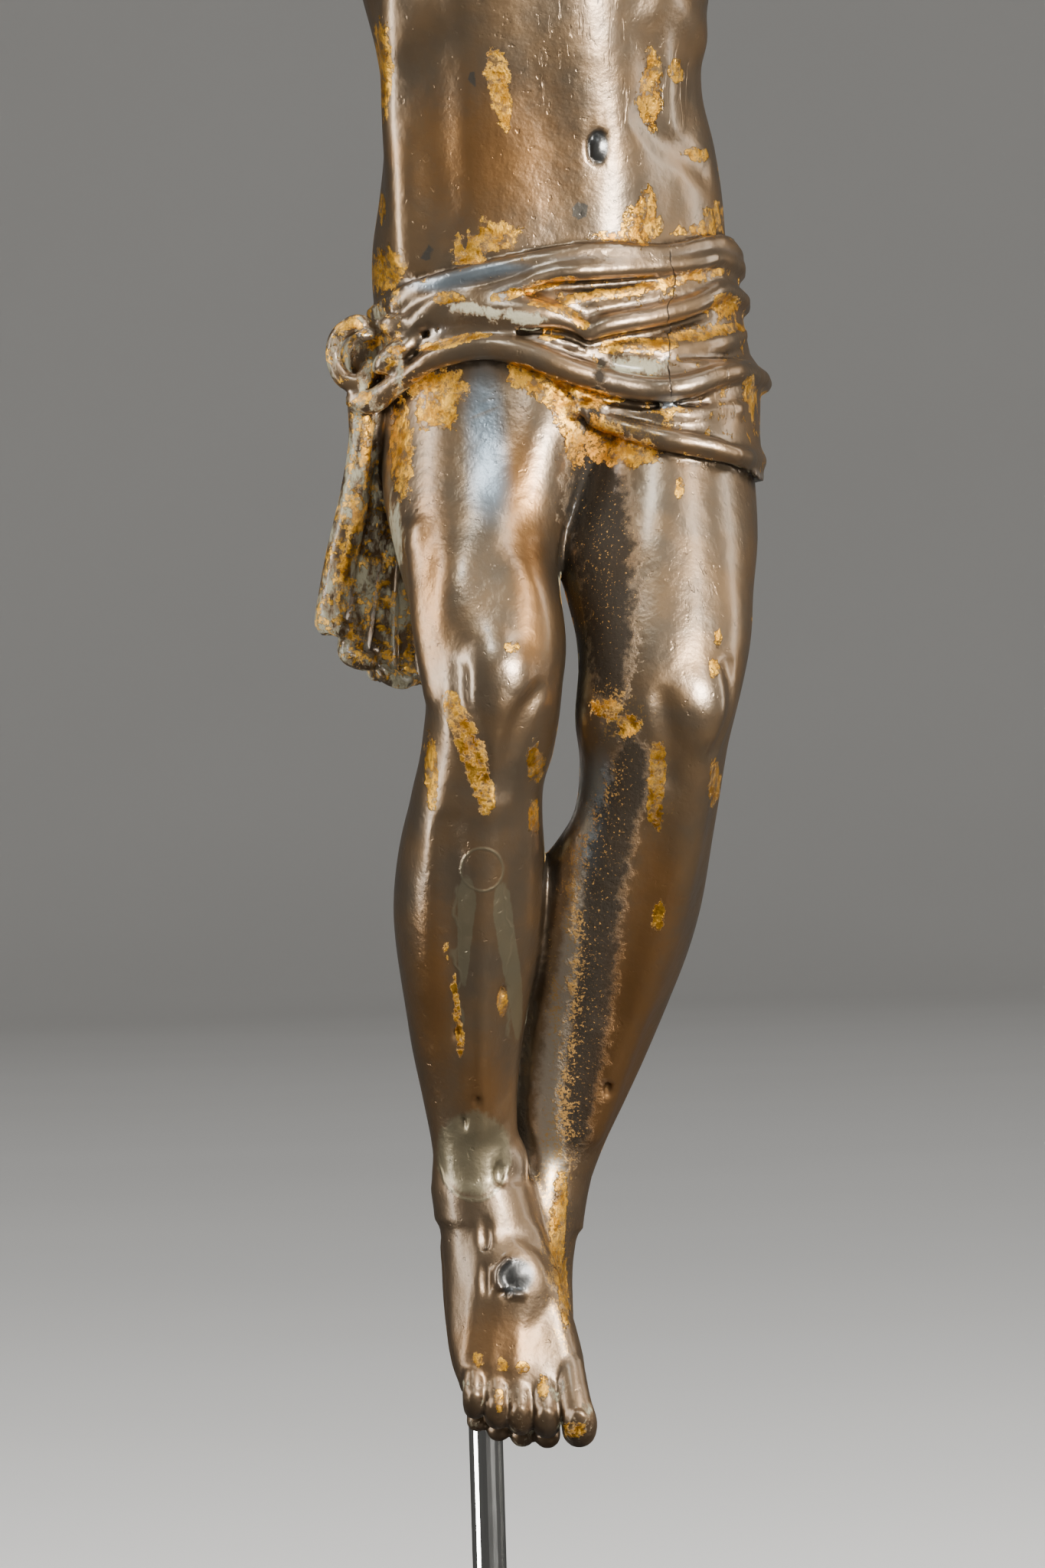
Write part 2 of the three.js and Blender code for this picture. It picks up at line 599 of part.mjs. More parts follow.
const armForms = [
  [ball([-15, -20, 247], [9.5, 8, 7.4], [0, 28, 0]), 4],
  [ball([40, -20, 247], [9.5, 8, 7.4], [0, -28, 0]), 4],
  [ball([-37, -17.6, 256], [10, 5, 5.4], [0, 30, 0]), 4],
  [ball([62, -17.6, 255.4], [10, 5, 5.4], [0, -28, 0]), 4],
  // fold of the armpit, front and back
  [strand([[-3, -28, 231, 4.6], [-13, -25, 238, 4.2], [-25, -20.5, 248, 3.8]]), 5],
  [strand([[29, -28, 231, 4.6], [38.5, -25, 238, 4.2], [50, -20.5, 248, 3.8]]), 5],
  [strand([[-13, -15, 222, 4.6], [-16.5, -14, 234, 4.4], [-26, -13.6, 247, 3.8]]), 5],
  [strand([[38.5, -15, 222, 4.6], [41.5, -14, 234, 4.4], [51, -13.6, 246.6, 3.8]]), 5],
];

// A hand with its palm to the front, from the wrist along `way`; `up` is towards the thumb
function hand(wrist, way, up) {
  const place = (along, across, depth, r) => [
    ...add(add(wrist, times(way, along)), add(times(up, across), [0, depth, 0])), r];
  const fingers = [-4.1, -1.4, 1.3, 3.9].map((across, i) => {
    const reach = [8.6, 10.6, 11.2, 9.8][i];
    const spread = 1 + 0.05 * i;
    return strand([
      place(12, across, 0.4, 1.5),
      place(12 + reach * 0.5, across * spread * 1.06, -1.2, 1.35),
      place(12 + reach * 0.8, across * spread * 1.06, -3.2, 1.25),
      place(12 + reach * 0.86, across * spread, -5.6, 1.15)]);
  });
  return [
    [strand([place(0, 0, 0, 3), place(3, 0, 0, 3.3)]), 2.5],
    [strand([place(4, -2.6, 0.2, 2.3), place(12, -3.8, 0.2, 2)]), 2],
    [strand([place(3, 0, 0.2, 2.5), place(12, 0, 0.2, 2.2)]), 2],
    [strand([place(4, 2.4, 0.2, 2.5), place(12, 3.6, 0.2, 2)]), 2],
    [strand([place(3.4, 2.6, -0.8, 2.2), place(8, 5.6, -2, 1.9), place(12.6, 7, -3.2, 1.6),
      place(15, 6.4, -4.4, 1.4)]), 1.5],
    ...fingers.map((f) => [f, 0.8]),
  ];
}
const rightHand = { wrist: [-102, -6.6, 291.4], way: [-0.93, 0, 0.368], up: [0.368, 0, 0.93] };
const leftHand = { wrist: [127, -6.6, 289.8], way: [0.93, 0, 0.368], up: [-0.368, 0, 0.93] };
const PALM_REACH = 8; // from the wrist to the nail hole

// The head is carved upright about its own centre, then bowed, turned and tilted into place.
// Its sizes are shares of a head 36 mm high: eyes at half height, nose and mouth by thirds
const HEAD_PLACE = { centre: [3.4, -31, 272], turns: [24, -17, -14] };
const headTurn = new THREE.Matrix4().makeRotationFromEuler(
  new THREE.Euler(...HEAD_PLACE.turns.map(THREE.MathUtils.degToRad), "ZYX"));
const onHead = ([x, y, z]) => add(
  new THREE.Vector3(x, y, z).applyMatrix4(headTurn).toArray(), HEAD_PLACE.centre);
const headBall = (centre, radii) => ball(onHead(centre), radii, HEAD_PLACE.turns);
const headStrand = (rows, options) => strand(rows.map((r) => [...onHead(r), r[3]]), options);
const bothSides = (make) => [-1, 1].flatMap(make);

const neck = strand([[12, -17.5, 246, 8.4], [9, -20.5, 256, 7.2], [5.6, -25, 265, 7]]);
const headForms = [
  [headBall([0, 2.5, 5], [12.2, 14.6, 13]), 3],
  [headBall([0, -5, -4], [9.6, 9.6, 12.4]), 4],
  [headBall([0, -6.4, -11.6], [7, 7, 6.4]), 3],
  [headBall([0, -12.2, -15.4], [2.8, 2.4, 2.4]), 2],
  [headStrand([[-6, -11.6, 3.2, 1.3], [-3.2, -13.9, 3.6, 1.4], [0, -14.4, 2.6, 1.2], [3.2, -13.9, 3.6, 1.4],
    [6, -11.6, 3.2, 1.3]]), 1.5],
];
const headHollows = bothSides((s) => [[headBall([s * 4.2, -14.6, 0.2], [2.9, 2, 1.9]), 1.5]]);
const faceForms = [
  ...bothSides((s) => [
    [headBall([s * 4.2, -11.9, -0.2], [2.7, 1.9, 1.7]), 0.6],
    [headBall([s * 6.2, -10.2, -4.6], [2.6, 2.4, 2.2]), 2.5],
    [headBall([s * 1.5, -15, -6.6], [1.1, 1.3, 1]), 0.7],
  ]),
  [headStrand([[0, -14.2, 2, 1], [0, -15.7, -2, 1.1], [0, -16.9, -6, 1.5]]), 1.2],
  [headStrand([[-2.9, -13.2, -10.4, 0.6], [0, -14.8, -10, 0.9], [2.9, -13.2, -10.4, 0.6]]), 0.6],
  [headStrand([[-2.3, -13.2, -11.6, 0.6], [0, -14.5, -11.9, 1], [2.3, -13.2, -11.6, 0.6]]), 0.6],
];
const beard = [
  ...bothSides((s) => [
    [headStrand([[0.7 * s, -15.2, -8.6, 0.9], [2.6 * s, -14, -9.4, 0.9], [4 * s, -12.4, -11.6, 0.7]]), 0.6],
    ...[0, 1, 2, 3].map((i) => [headStrand([
      [s * (9 - i * 1.6), -4 - i * 2.1, -8 - i * 1.4, 1.5],
      [s * (8 - i * 1.7), -6.4 - i * 2, -12.6 - i * 1.2, 1.7],
      [s * (5.8 - i * 1.4), -9 - i * 1.7, -17 - i * 0.9, 1.2]]), 1]),
  ]),
  [headStrand([[0, -12.8, -14.6, 1.8], [-0.9, -13.6, -18.4, 1.7], [-1.4, -12.6, -21.6, 0.8]]), 1],
  [headStrand([[0, -12.8, -14.6, 1.8], [1, -13.6, -18.4, 1.7], [1.8, -12.8, -21.2, 0.8]]), 1],
];

// Hair parted in the middle: long wavy locks down both sides and over the shoulders
const LOCKS = 7;
const hair = bothSides((s) => Array.from({ length: LOCKS }, (_, i) => {
  const round = THREE.MathUtils.degToRad(mix(-32, 90, i / (LOCKS - 1)));
  const [c, b] = [Math.cos(round), Math.sin(round)];
  const wave = i % 2 ? 0.7 : -0.7;
  return [headStrand([
    [s * 1.2, 2 + 8 * b, 17.2 - 2 * Math.abs(b), 1.6],
    [s * (5 + 3.6 * c), 2.6 + 12 * b, 13.6, 2.1],
    [s * (4 + 9 * c), 2.8 + 14.4 * b, 5, 2.2],
    [s * (4 + 9 * c + wave), 3 + 13.6 * b, -4, 2.2],
    [s * (4.4 + 7.4 * c - wave), 4 + 11.4 * b, -12, 2.1],
    [s * (5.4 + 5.4 * c + wave), 4.6 + 9.4 * b, -19, 1.5]]), 0.9];
}));

// A crown of two rods twisted round each other
const CROWN_TURNS = 7;
const crownStrand = (phase) => {
  const steps = CROWN_TURNS * 6;
  return headStrand(Array.from({ length: steps + 1 }, (_, i) => {
    const round = (i / steps) * 2 * Math.PI;
    const twist = CROWN_TURNS * round + phase;
    const out = 1 + 0.085 * Math.cos(twist);
    return [12.6 * out * Math.sin(round), 1.2 - 15.2 * out * Math.cos(round), 8 + 1.3 * Math.sin(twist), 1.15];
  }), { steps: 1 });
};

// The loincloth: its upper and lower edge as rows [x, z], in front and behind
const frontTop = [[-13, 164.6], [-7.2, 167.9], [-1.5, 169.4], [5.4, 170.8], [15.1, 172.6], [22.9, 172.9],
  [31.7, 172.5], [37.3, 173.8], [42, 174.9], [46, 175]];
const frontBottom = [[-13, 150.5], [-9.4, 152.1], [-3.7, 156.2], [-0.1, 157], [3.3, 157.3], [7.2, 156.7],
  [13.6, 154], [17.9, 150.2], [19.6, 147.2], [26.5, 144.6], [34.6, 142.3], [40.2, 141.3], [43.7, 138.8],
  [46, 138.4]];
const backTop = [[-13, 164.6], [2, 168], [20, 170], [36, 173], [46, 175]];
const backBottom = [[-13, 150.5], [0, 144], [16, 141], [32, 138.5], [46, 138.4]];
const CLOTH_SIDE_Y = -20; // where front and back meet

function clothShape(skin) {
  const [ft, fb, bt, bb] = [frontTop, frontBottom, backTop, backBottom].map(tableOf);
  return {
    low: [-15, -48, 134],
    high: [49, 2, 178],
    at(x, y, z) {
      const share = THREE.MathUtils.smoothstep(y, CLOTH_SIDE_Y - 5, CLOTH_SIDE_Y + 5);
      const key = Math.min(45.9, Math.max(-12.9, x));
      const top = mix(ft(key)[1], bt(key)[1], share);
      const bottom = mix(fb(key)[1], bb(key)[1], share);
      return Math.max(skin.at([x, y, z]) - clothThickness, (z - top) * 0.9, (bottom - z) * 0.9);
    },
  };
}

// Folds across the front: rows [x, z, radius]; closed ones go on round the back to their start
const folds = [
  { closed: true, rows: [[-8, 165.6, 1.2], [-1.6, 168.2, 1], [5.4, 169.7, 0.9], [18.5, 171.8, 0.9],
    [30, 171.7, 0.9], [39, 173.2, 1]] },
  { closed: true, rows: [[5.6, 166.6, 1.1], [9.7, 167.2, 1.2], [14.1, 168.9, 1.3], [21.1, 169.2, 1.4],
    [33.7, 170, 1.3], [39, 171, 1.2]] },
  { rows: [[-6, 162.4, 1.6], [0.1, 164.6, 1.5], [5.3, 165.1, 1.4], [9.6, 164.5, 1.5], [15.3, 163.3, 1.6],
    [20, 161, 1.2]] },
  { rows: [[17, 164.8, 0.9], [24, 165.4, 1.2], [33.6, 167, 1.2], [38.6, 168.4, 0.9]] },
  { closed: true, rows: [[20.4, 161.2, 1.2], [24.8, 161.8, 1.5], [29.2, 162.5, 1.6], [34.9, 164, 1.5],
    [39.4, 165.8, 1.2]] },
  { rows: [[-7.9, 159.8, 1.4], [-1.5, 161.2, 1.4], [5.2, 162.1, 1.3], [9.6, 161.7, 1.2], [13.9, 160, 1.2],
    [18.2, 158.8, 1.1], [26.9, 159.6, 1.1], [39.6, 162.4, 0.9]] },
  { closed: true, rows: [[-8.4, 154.4, 1.5], [-3.6, 157.4, 1.6], [2.5, 159, 1.7], [6.9, 159.2, 1.8],
    [11.2, 158, 1.9], [16.3, 155.9, 2], [22.4, 153.6, 2], [28, 152.4, 2], [33.2, 152.4, 1.8], [40.4, 154.4, 1.4]] },
  { rows: [[19.2, 151, 1.1], [25, 149.4, 1.3], [33, 148.4, 1.3], [40.6, 149.2, 1]] },
  { closed: true, rows: [[20, 148.4, 1.1], [24.8, 146.6, 1.3], [29.9, 144.8, 1.4], [36, 143.6, 1.4],
    [41.4, 142.4, 1.3]] },
];
const BACK_STEPS = 7;
const FOLD_SINK = 0.3; // share of a fold's radius that lies under the cloth's face
const laidRow = (skin, level) => ([x, z, r]) => [...skin.touch([x, -60, z], [0, 1, 0], level(r)), r];

function foldShape(skin, { rows, closed }) {
  const level = (r) => clothThickness - FOLD_SINK * r;
  const line = rows.map(laidRow(skin, level));
  if (closed) {
    const [first, last] = [rows[0], rows.at(-1)];
    for (let i = 1; i < BACK_STEPS; i++) {
      const t = i / BACK_STEPS;
      const round = mix(-20, 190, t) * (Math.PI / 180);
      const way = [-Math.cos(round), -Math.sin(round), 0];
      const z = mix(last[1], first[1], t) - 3 * Math.sin(Math.PI * t);
      const hub = [16, -20, z];
      const r = mix(last[2], first[2], t);
      line.push([...skin.touch(add(hub, times(way, -44)), way, level(r)), r]);
    }
    line.push(line[0]);
  }
  return strand(line, { steps: 3 });
}

// The knot on the right hip, and the cloth's end that hangs from it
const knot = [
  [strand([[-11, -27, 162.2, 1.7], [-14.4, -28, 161.4, 1.6], [-17, -28, 158.8, 1.5], [-16.4, -28, 155.4, 1.5],
    [-13.6, -28, 153.8, 1.6], [-11.4, -28, 156, 1.6], [-11, -27, 162.2, 1.7]]), 0.8],
  [ball([-12.6, -23, 157.8], [4, 4.6, 4.6]), 1.5],
  [strand([[-10.6, -30.4, 161, 1.7], [-7.6, -33, 161.9, 1.8], [-4.6, -34, 162.4, 1.5]]), 0.7],
  [strand([[-12, -29.4, 154.2, 1.7], [-9.2, -32.4, 157.4, 1.9], [-5.2, -34.6, 159.4, 1.6]]), 0.7],
  [strand([[-13.8, -28, 151, 1.8], [-11.2, -31, 152.6, 1.7], [-6.4, -34, 156.4, 1.4]]), 0.7],
];
const knotHollow = ball([-14, -30, 158], [1.9, 3.4, 2.3]);
const hangingEnd = [
  strand([[-13.4, -26, 152, 2], [-13.4, -25.4, 146, 2], [-14.8, -24.4, 138, 2.2], [-17, -23.6, 129, 2.4],
    [-18.2, -23, 121.8, 2.6]]),
  strand([[-11.6, -22.6, 148, 1.7], [-11.6, -22, 137, 1.9], [-13.8, -21.4, 126, 2.2], [-15.6, -21, 117.2, 2.6]]),
  strand([[-10.4, -22, 146, 1.6], [-9.6, -21, 136, 1.8], [-11, -20.4, 124, 2.1], [-12, -20.4, 114.8, 2.4]]),
  strand([[-9.6, -20, 143, 1.6], [-8, -18.6, 131, 2], [-8.6, -18, 121, 2.3], [-8.6, -18, 114, 2.6]]),
  strand([[-8.6, -18, 139, 1.6], [-6.6, -16, 127, 2], [-5.4, -15, 119, 2.4], [-5, -15, 113.4, 2.6]]),
];

function carveFigure() {
  const clay = new Clay([-132, -62, -2], [158, 3, 306], GRAIN);
  const press = (list) => list.forEach(([shape, blend]) => clay.join(shape, blend));
  clay.join(torso, 1).join(rightLeg, 4).join(leftLeg, 1);
  press(trunkForms);
  for (const [rows, sink, blend] of trunkStrands) {
    clay.join(strand(rows.map(laidRow(clay, () => -sink))), blend);
  }
  press(legForms);
  clay.join(lowerFoot, 2).join(upperFoot, 1.2);
  toeForms.forEach((toe) => clay.join(toe, 0.7));
  clay.join(ball([4.6, -28, 24], [4.4, 2.4, 5.4]), 2);
  rightArm.concat(leftArm).forEach((shape) => clay.join(shape, 4));
  press(armForms);
  press(hand(rightHand.wrist, rightHand.way, rightHand.up));
  press(hand(leftHand.wrist, leftHand.way, leftHand.up));
  trunkHollows.forEach(([shape, blend]) => clay.carve(shape, blend));
  clay.carve(ball([21.7, -38.4, 186.8], [1.2, 1.6, 2]), 1);
  clay.join(neck, 4);
  press(headForms);
  headHollows.forEach(([shape, blend]) => clay.carve(shape, blend));
  press(faceForms);
  press(beard);
  press(hair);
  [0, Math.PI].forEach((phase) => clay.join(crownStrand(phase), 0.6));
  const skin = clay.copy();
  clay.join(clothShape(skin), 0.6);
  folds.forEach((fold) => clay.join(foldShape(skin, fold), 1));
  hangingEnd.forEach((shape) => clay.join(shape, 1));
  press(knot);
  clay.carve(knotHollow, 0.8);
  return simplify(largestPart(clay.surface()), FIGURE_FACES);
}

// Solids: closed meshes that can be joined and cut
const wasm = await Module();
wasm.setup();

function solidFrom(geometry) {
  const plain = new THREE.BufferGeometry();
  plain.setAttribute("position", geometry.getAttribute("position"));
  if (geometry.index) plain.setIndex(geometry.index);
  const merged = mergeVertices(plain, 1e-4);
  return new wasm.Manifold(new wasm.Mesh({
    numProp: 3,
    vertProperties: new Float32Array(merged.attributes.position.array),
    triVerts: new Uint32Array(merged.index.array),
  }));
}

function geometryFrom(solid) {
  const mesh = solid.getMesh();
  const geometry = new THREE.BufferGeometry();
  geometry.setAttribute("position", new THREE.BufferAttribute(new Float32Array(mesh.vertProperties), 3));
  geometry.setIndex(new THREE.BufferAttribute(new Uint32Array(mesh.triVerts), 1));
  geometry.computeVertexNormals();
  return geometry;
}

// A round bar between two points
function bar(from, to, radius) {
  const [a, b] = [new THREE.Vector3(...from), new THREE.Vector3(...to)];
  const geometry = new THREE.CylinderGeometry(radius, radius, a.distanceTo(b), ROUND_SIDES);
  const turn = new THREE.Quaternion().setFromUnitVectors(new THREE.Vector3(0, 1, 0), b.clone().sub(a).normalize());
  const middle = a.clone().add(b).multiplyScalar(0.5);
  return geometry.applyMatrix4(new THREE.Matrix4().compose(middle, turn, new THREE.Vector3(1, 1, 1)));
}

// Places in the part's frame, worked out from the sizes above
const rodRadius = ROD_DIAMETER / 2;
const [rodX, rodY] = ROD_FROM_CENTRE;
const figurePlace = [rodX, rodY - rodRadius - BACK_GAP, FOOT_THICKNESS + TOE_CLEARANCE];
const placed = (p) => add(times(p, scale), figurePlace);
const SOCKET_AT = [0, -14, 160]; // in the figure's frame, inside the seat under the loincloth
const pegEnd = placed(SOCKET_AT);
const pegHeight = pegEnd[2];

function makeCorpus() {
  const { positions, faces } = carveFigure();
  const geometry = new THREE.BufferGeometry();
  geometry.setAttribute("position", new THREE.BufferAttribute(
    new Float32Array(positions.flatMap(placed)), 3));
  geometry.setIndex(faces.flat());
  let solid = solidFrom(geometry);
  if (solid.volume() < 0) {
    geometry.setIndex(faces.flatMap(([a, b, c]) => [a, c, b]));
    solid = solidFrom(geometry);
  }
  const socketRadius = rodRadius + SOCKET_CLEARANCE;
  const socket = bar(add(pegEnd, [0, -SOCKET_CLEARANCE, 0]), [rodX, rodY, pegHeight], socketRadius);
  const footHole = bar(placed([5.1, -40, 25.6]), placed([5.1, -29 + FEET_NAIL_DEPTH / scale, 25.6]),
    FEET_NAIL_HOLE / 2);
  const palmHoles = [rightHand, leftHand].map(({ wrist, way }) => {
    const centre = placed(add(wrist, times(way, PALM_REACH)));
    return bar(add(centre, [0, -12, 0]), add(centre, [0, 12, 0]), HAND_NAIL_HOLE / 2);
  });
  for (const cutter of [socket, footHole, ...palmHoles]) solid = solid.subtract(solidFrom(cutter));
  return geometryFrom(solid);
}

// The rod stands in the foot, bends forward at the peg's height and ends in the figure's back
const BEND_STEPS = 8;
const rodBottom = FOOT_THICKNESS + FOOT_COLLAR_HEIGHT - FOOT_SOCKET_DEPTH + SOCKET_CLEARANCE;

function makeRod() {
  // Rings of points along the rod: where each ring's middle is, and how far it has turned forward
  const rings = [[rodY, rodBottom, 0]];
  for (let i = 0; i <= BEND_STEPS; i++) {
    const turn = (i / BEND_STEPS) * (Math.PI / 2);
    rings.push([
      rodY - ROD_BEND_RADIUS * (1 - Math.cos(turn)),
      pegHeight - ROD_BEND_RADIUS * (1 - Math.sin(turn)), turn]);
  }
  rings.push([pegEnd[1], pegHeight, Math.PI / 2]);

  const positions = [];
  for (const [y, z, turn] of rings) {
    for (let s = 0; s < ROUND_SIDES; s++) {
      const round = (s / ROUND_SIDES) * 2 * Math.PI;
      const back = rodRadius * Math.sin(round);
      positions.push(rodX + rodRadius * Math.cos(round), y + back * Math.cos(turn), z + back * Math.sin(turn));
    }
  }
  const faces = [];
  const at = (ring, s) => ring * ROUND_SIDES + (s % ROUND_SIDES);
  const last = rings.length - 1;
  for (let ring = 0; ring < last; ring++) {
    for (let s = 0; s < ROUND_SIDES; s++) {
      faces.push(at(ring, s), at(ring, s + 1), at(ring + 1, s + 1));
      faces.push(at(ring, s), at(ring + 1, s + 1), at(ring + 1, s));
    }
  }
  for (let s = 1; s < ROUND_SIDES - 1; s++) {
    faces.push(at(0, 0), at(0, s + 1), at(0, s));
    faces.push(at(last, 0), at(last, s), at(last, s + 1));
  }
  const geometry = new THREE.BufferGeometry();
  geometry.setAttribute("position", new THREE.BufferAttribute(new Float32Array(positions), 3));
  geometry.setIndex(faces);
  return geometry;
}

// A turned disc whose upper edge is rounded
function disc(radius, bottom, top, round, sides) {
  const profile = [new THREE.Vector2(0, bottom), new THREE.Vector2(radius, bottom)];
  for (let i = 0; i <= 3; i++) {
    const turn = (i / 3) * (Math.PI / 2);
    profile.push(new THREE.Vector2(radius - round * (1 - Math.cos(turn)), top - round * (1 - Math.sin(turn))));
  }
  profile.push(new THREE.Vector2(0, top));
  return new THREE.LatheGeometry(profile, sides).rotateX(Math.PI / 2);
}

// The foot: a disc, and a low boss behind its centre that the rod stands in
function makeFoot() {
  const top = FOOT_THICKNESS + FOOT_COLLAR_HEIGHT;
  const boss = disc(FOOT_COLLAR_DIAMETER / 2, FOOT_THICKNESS / 2, top, 1, ROUND_SIDES).translate(rodX, rodY, 0);
  const bore = bar([rodX, rodY, top - FOOT_SOCKET_DEPTH], [rodX, rodY, top + 1], rodRadius + SOCKET_CLEARANCE);
  const plate = disc(FOOT_DIAMETER / 2, 0, FOOT_THICKNESS, FOOT_EDGE_ROUND, 2 * ROUND_SIDES);
  return geometryFrom(solidFrom(plate).add(solidFrom(boss)).subtract(solidFrom(bore)));
}

const materials = {
  bronze: new THREE.MeshStandardMaterial({ color: 0x7a6248, roughness: 0.38, metalness: 1 }),
  steel: new THREE.MeshStandardMaterial({ color: 0xb9bdc2, roughness: 0.15, metalness: 1 }),
  black: new THREE.MeshStandardMaterial({ color: 0x17181a, roughness: 0.5, metalness: 0.2 }),
};

function named(name, geometry, material) {
  const mesh = new THREE.Mesh(geometry, material);
  mesh.name = name;
  return mesh;
}

const group = new THREE.Group();
group.add(named("corpus", makeCorpus(), materials.bronze));
group.add(named("stand_rod", makeRod(), materials.steel));
group.add(named("stand_foot", makeFoot(), materials.black));

export default group;
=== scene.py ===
# %% [markdown]
# # A gilt bronze corpus figure on its stand
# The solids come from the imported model. Here the figure is carved again with much finer grain, gets its
# worn gilding and patina, and is lit and photographed.

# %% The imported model
import math

import bpy
import numpy as np
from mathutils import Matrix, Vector


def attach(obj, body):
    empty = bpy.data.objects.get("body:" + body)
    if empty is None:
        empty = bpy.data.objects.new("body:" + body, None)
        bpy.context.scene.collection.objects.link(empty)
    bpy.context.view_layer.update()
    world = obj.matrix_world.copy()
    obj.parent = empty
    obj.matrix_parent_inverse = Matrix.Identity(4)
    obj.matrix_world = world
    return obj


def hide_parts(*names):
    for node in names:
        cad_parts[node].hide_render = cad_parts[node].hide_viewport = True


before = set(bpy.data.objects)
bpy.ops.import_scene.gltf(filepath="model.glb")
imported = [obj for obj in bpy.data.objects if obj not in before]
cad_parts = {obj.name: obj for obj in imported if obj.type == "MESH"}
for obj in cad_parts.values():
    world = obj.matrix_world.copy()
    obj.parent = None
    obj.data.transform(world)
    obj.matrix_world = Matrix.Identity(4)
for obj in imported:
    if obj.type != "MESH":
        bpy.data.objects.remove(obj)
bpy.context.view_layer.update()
MM = 0.001

# %% [markdown]
# ## Camera
# The photograph is a close view with a long lens, level with the thighs, and the stand leans a little to
# the left in it, so the camera is rolled by the same angle. It could stand close with a short lens, but
# then the knees would swell, so it stands far back.

# %% Camera
FRAME_HEIGHT = 225.3 * MM  # what the picture shows from its lower to its upper edge
CAMERA_AIM = (-5.8 * MM, -12 * MM, 142.2 * MM)
CAMERA_DISTANCE = 1.6
CAMERA_ROLL = math.radians(1.7)

camera_data = bpy.data.cameras.new("camera")
camera_data.sensor_fit = "VERTICAL"
camera_data.sensor_height = 36
camera_data.lens = 36 * CAMERA_DISTANCE / FRAME_HEIGHT
camera_data.clip_end = 20
camera = bpy.data.objects.new("camera", camera_data)
camera.location = (CAMERA_AIM[0], CAMERA_AIM[1] - CAMERA_DISTANCE, CAMERA_AIM[2])
camera.rotation_euler = (math.radians(90), CAMERA_ROLL, 0)
bpy.context.scene.collection.objects.link(camera)
bpy.context.scene.camera = camera
print("lens", round(camera_data.lens), "mm")

# %% [markdown]
# ## Digital clay
# A cast figure starts as wax: lumps and rolls pressed together with soft seams. Sculpting by hand is one
# way and box modelling another, but neither can be written down as sizes. So the wax is a grid of
# distances. Each shape knows how far any point is from its surface, and is joined to the grid or carved
# out of it with a seam as soft as is asked for. The surface is then drawn where the distance is nought.

# %% Curves and turns
GRAIN = 0.5  # millimetres between grid points


def smooth_rows(rows, steps):
    """A smooth curve through rows of numbers, with `steps` pieces between each two."""
    rows = np.array(rows, float)
    before = np.vstack([rows[:1], rows[:-1]])
    after = np.vstack([rows[1:], rows[-1:]])
    slope = (after - before) / 2
    t = (np.arange(steps) / steps)[:, None]
    h00, h10, h11 = 2 * t**3 - 3 * t**2 + 1, t**3 - 2 * t**2 + t, t**3 - t**2
    pieces = [h00 * rows[i] + h10 * slope[i] + (1 - h00) * rows[i + 1] + h11 * slope[i + 1]
              for i in range(len(rows) - 1)]
    return np.vstack(pieces + [rows[-1:]])


def table_of(rows):
    """Rows [key, value...] read at any keys."""
    fine = smooth_rows(rows, 8)
    return lambda key: [np.interp(key, fine[:, 0], column) for column in fine[:, 1:].T]


def turn_matrix(turns):
    """Degrees about X, then Y, then Z."""
    (a, b, c), (d, e, f) = np.cos(np.radians(turns)), np.sin(np.radians(turns))
    about_x = np.array([[1, 0, 0], [0, a, -d], [0, d, a]])
    about_y = np.array([[b, 0, e], [0, 1, 0], [-e, 0, b]])
    about_z = np.array([[c, -f, 0], [f, c, 0], [0, 0, 1]])
    return about_z @ about_y @ about_x


# %% Shapes to press
class Shape:
    """A form with a box and a distance to any point, in millimetres, negative inside."""

    def measure(self, clay, margin):
        window, (x, y, z) = clay.window(self.low - margin, self.high + margin)
        return window, self.at(x, y, z)


class Ball(Shape):
    """An egg shape."""

    def __init__(self, centre, radii, turns=(0, 0, 0)):
        self.centre, self.radii, self.turn = np.array(centre, float), radii, turn_matrix(turns)
        reach = np.abs(self.turn) @ np.array(radii, float)
        self.low, self.high = self.centre - reach, self.centre + reach

    def at(self, x, y, z):
        d = (x - self.centre[0], y - self.centre[1], z - self.centre[2])
        k2 = s2 = 0
        for axis, radius in zip(self.turn.T, self.radii):
            u = (axis[0] * d[0] + axis[1] * d[1] + axis[2] * d[2]) / radius
            k2, s2 = k2 + u * u, s2 + u * u / radius**2
        k = np.sqrt(k2)
        return k * (k - 1) / np.sqrt(s2 + 1e-9)


class Strand(Shape):
    """A roll of wax through rows [x, y, z, radius]."""

    def __init__(self, rows, steps=4):
        self.line = smooth_rows(rows, steps)
        reach = self.line[:, 3:].max()
        self.low, self.high = self.line[:, :3].min(0) - reach, self.line[:, :3].max(0) + reach

    def measure(self, clay, margin):
        window, (x, y, z) = clay.window(self.low - margin, self.high + margin)
        whole = np.full((x.size, y.size, z.size), 1e3, np.float32)
        origin = np.array([x.flat[0], y.flat[0], z.flat[0]])
        for start, end in zip(self.line[:-1], self.line[1:]):
            reach = max(start[3], end[3]) + margin + clay.grain
            low = np.floor((np.minimum(start, end)[:3] - reach - origin) / clay.grain).astype(int)
            high = np.ceil((np.maximum(start, end)[:3] + reach - origin) / clay.grain).astype(int) + 1
            part = tuple(slice(max(a, 0), max(b, 0)) for a, b in zip(low, high))
            dx, dy, dz = x[part[0]] - start[0], y[:, part[1]] - start[1], z[:, :, part[2]] - start[2]
            along = (end - start)[:3]
            size = max(along @ along, 1e-9)
            t = np.clip((dx * along[0] + dy * along[1] + dz * along[2]) / size, 0, 1)
            away = np.sqrt((dx - along[0] * t)**2 + (dy - along[1] * t)**2 + (dz - along[2] * t)**2)
            near = away - start[3] - (end[3] - start[3]) * t
            whole[part] = np.minimum(whole[part], near)
        return window, whole


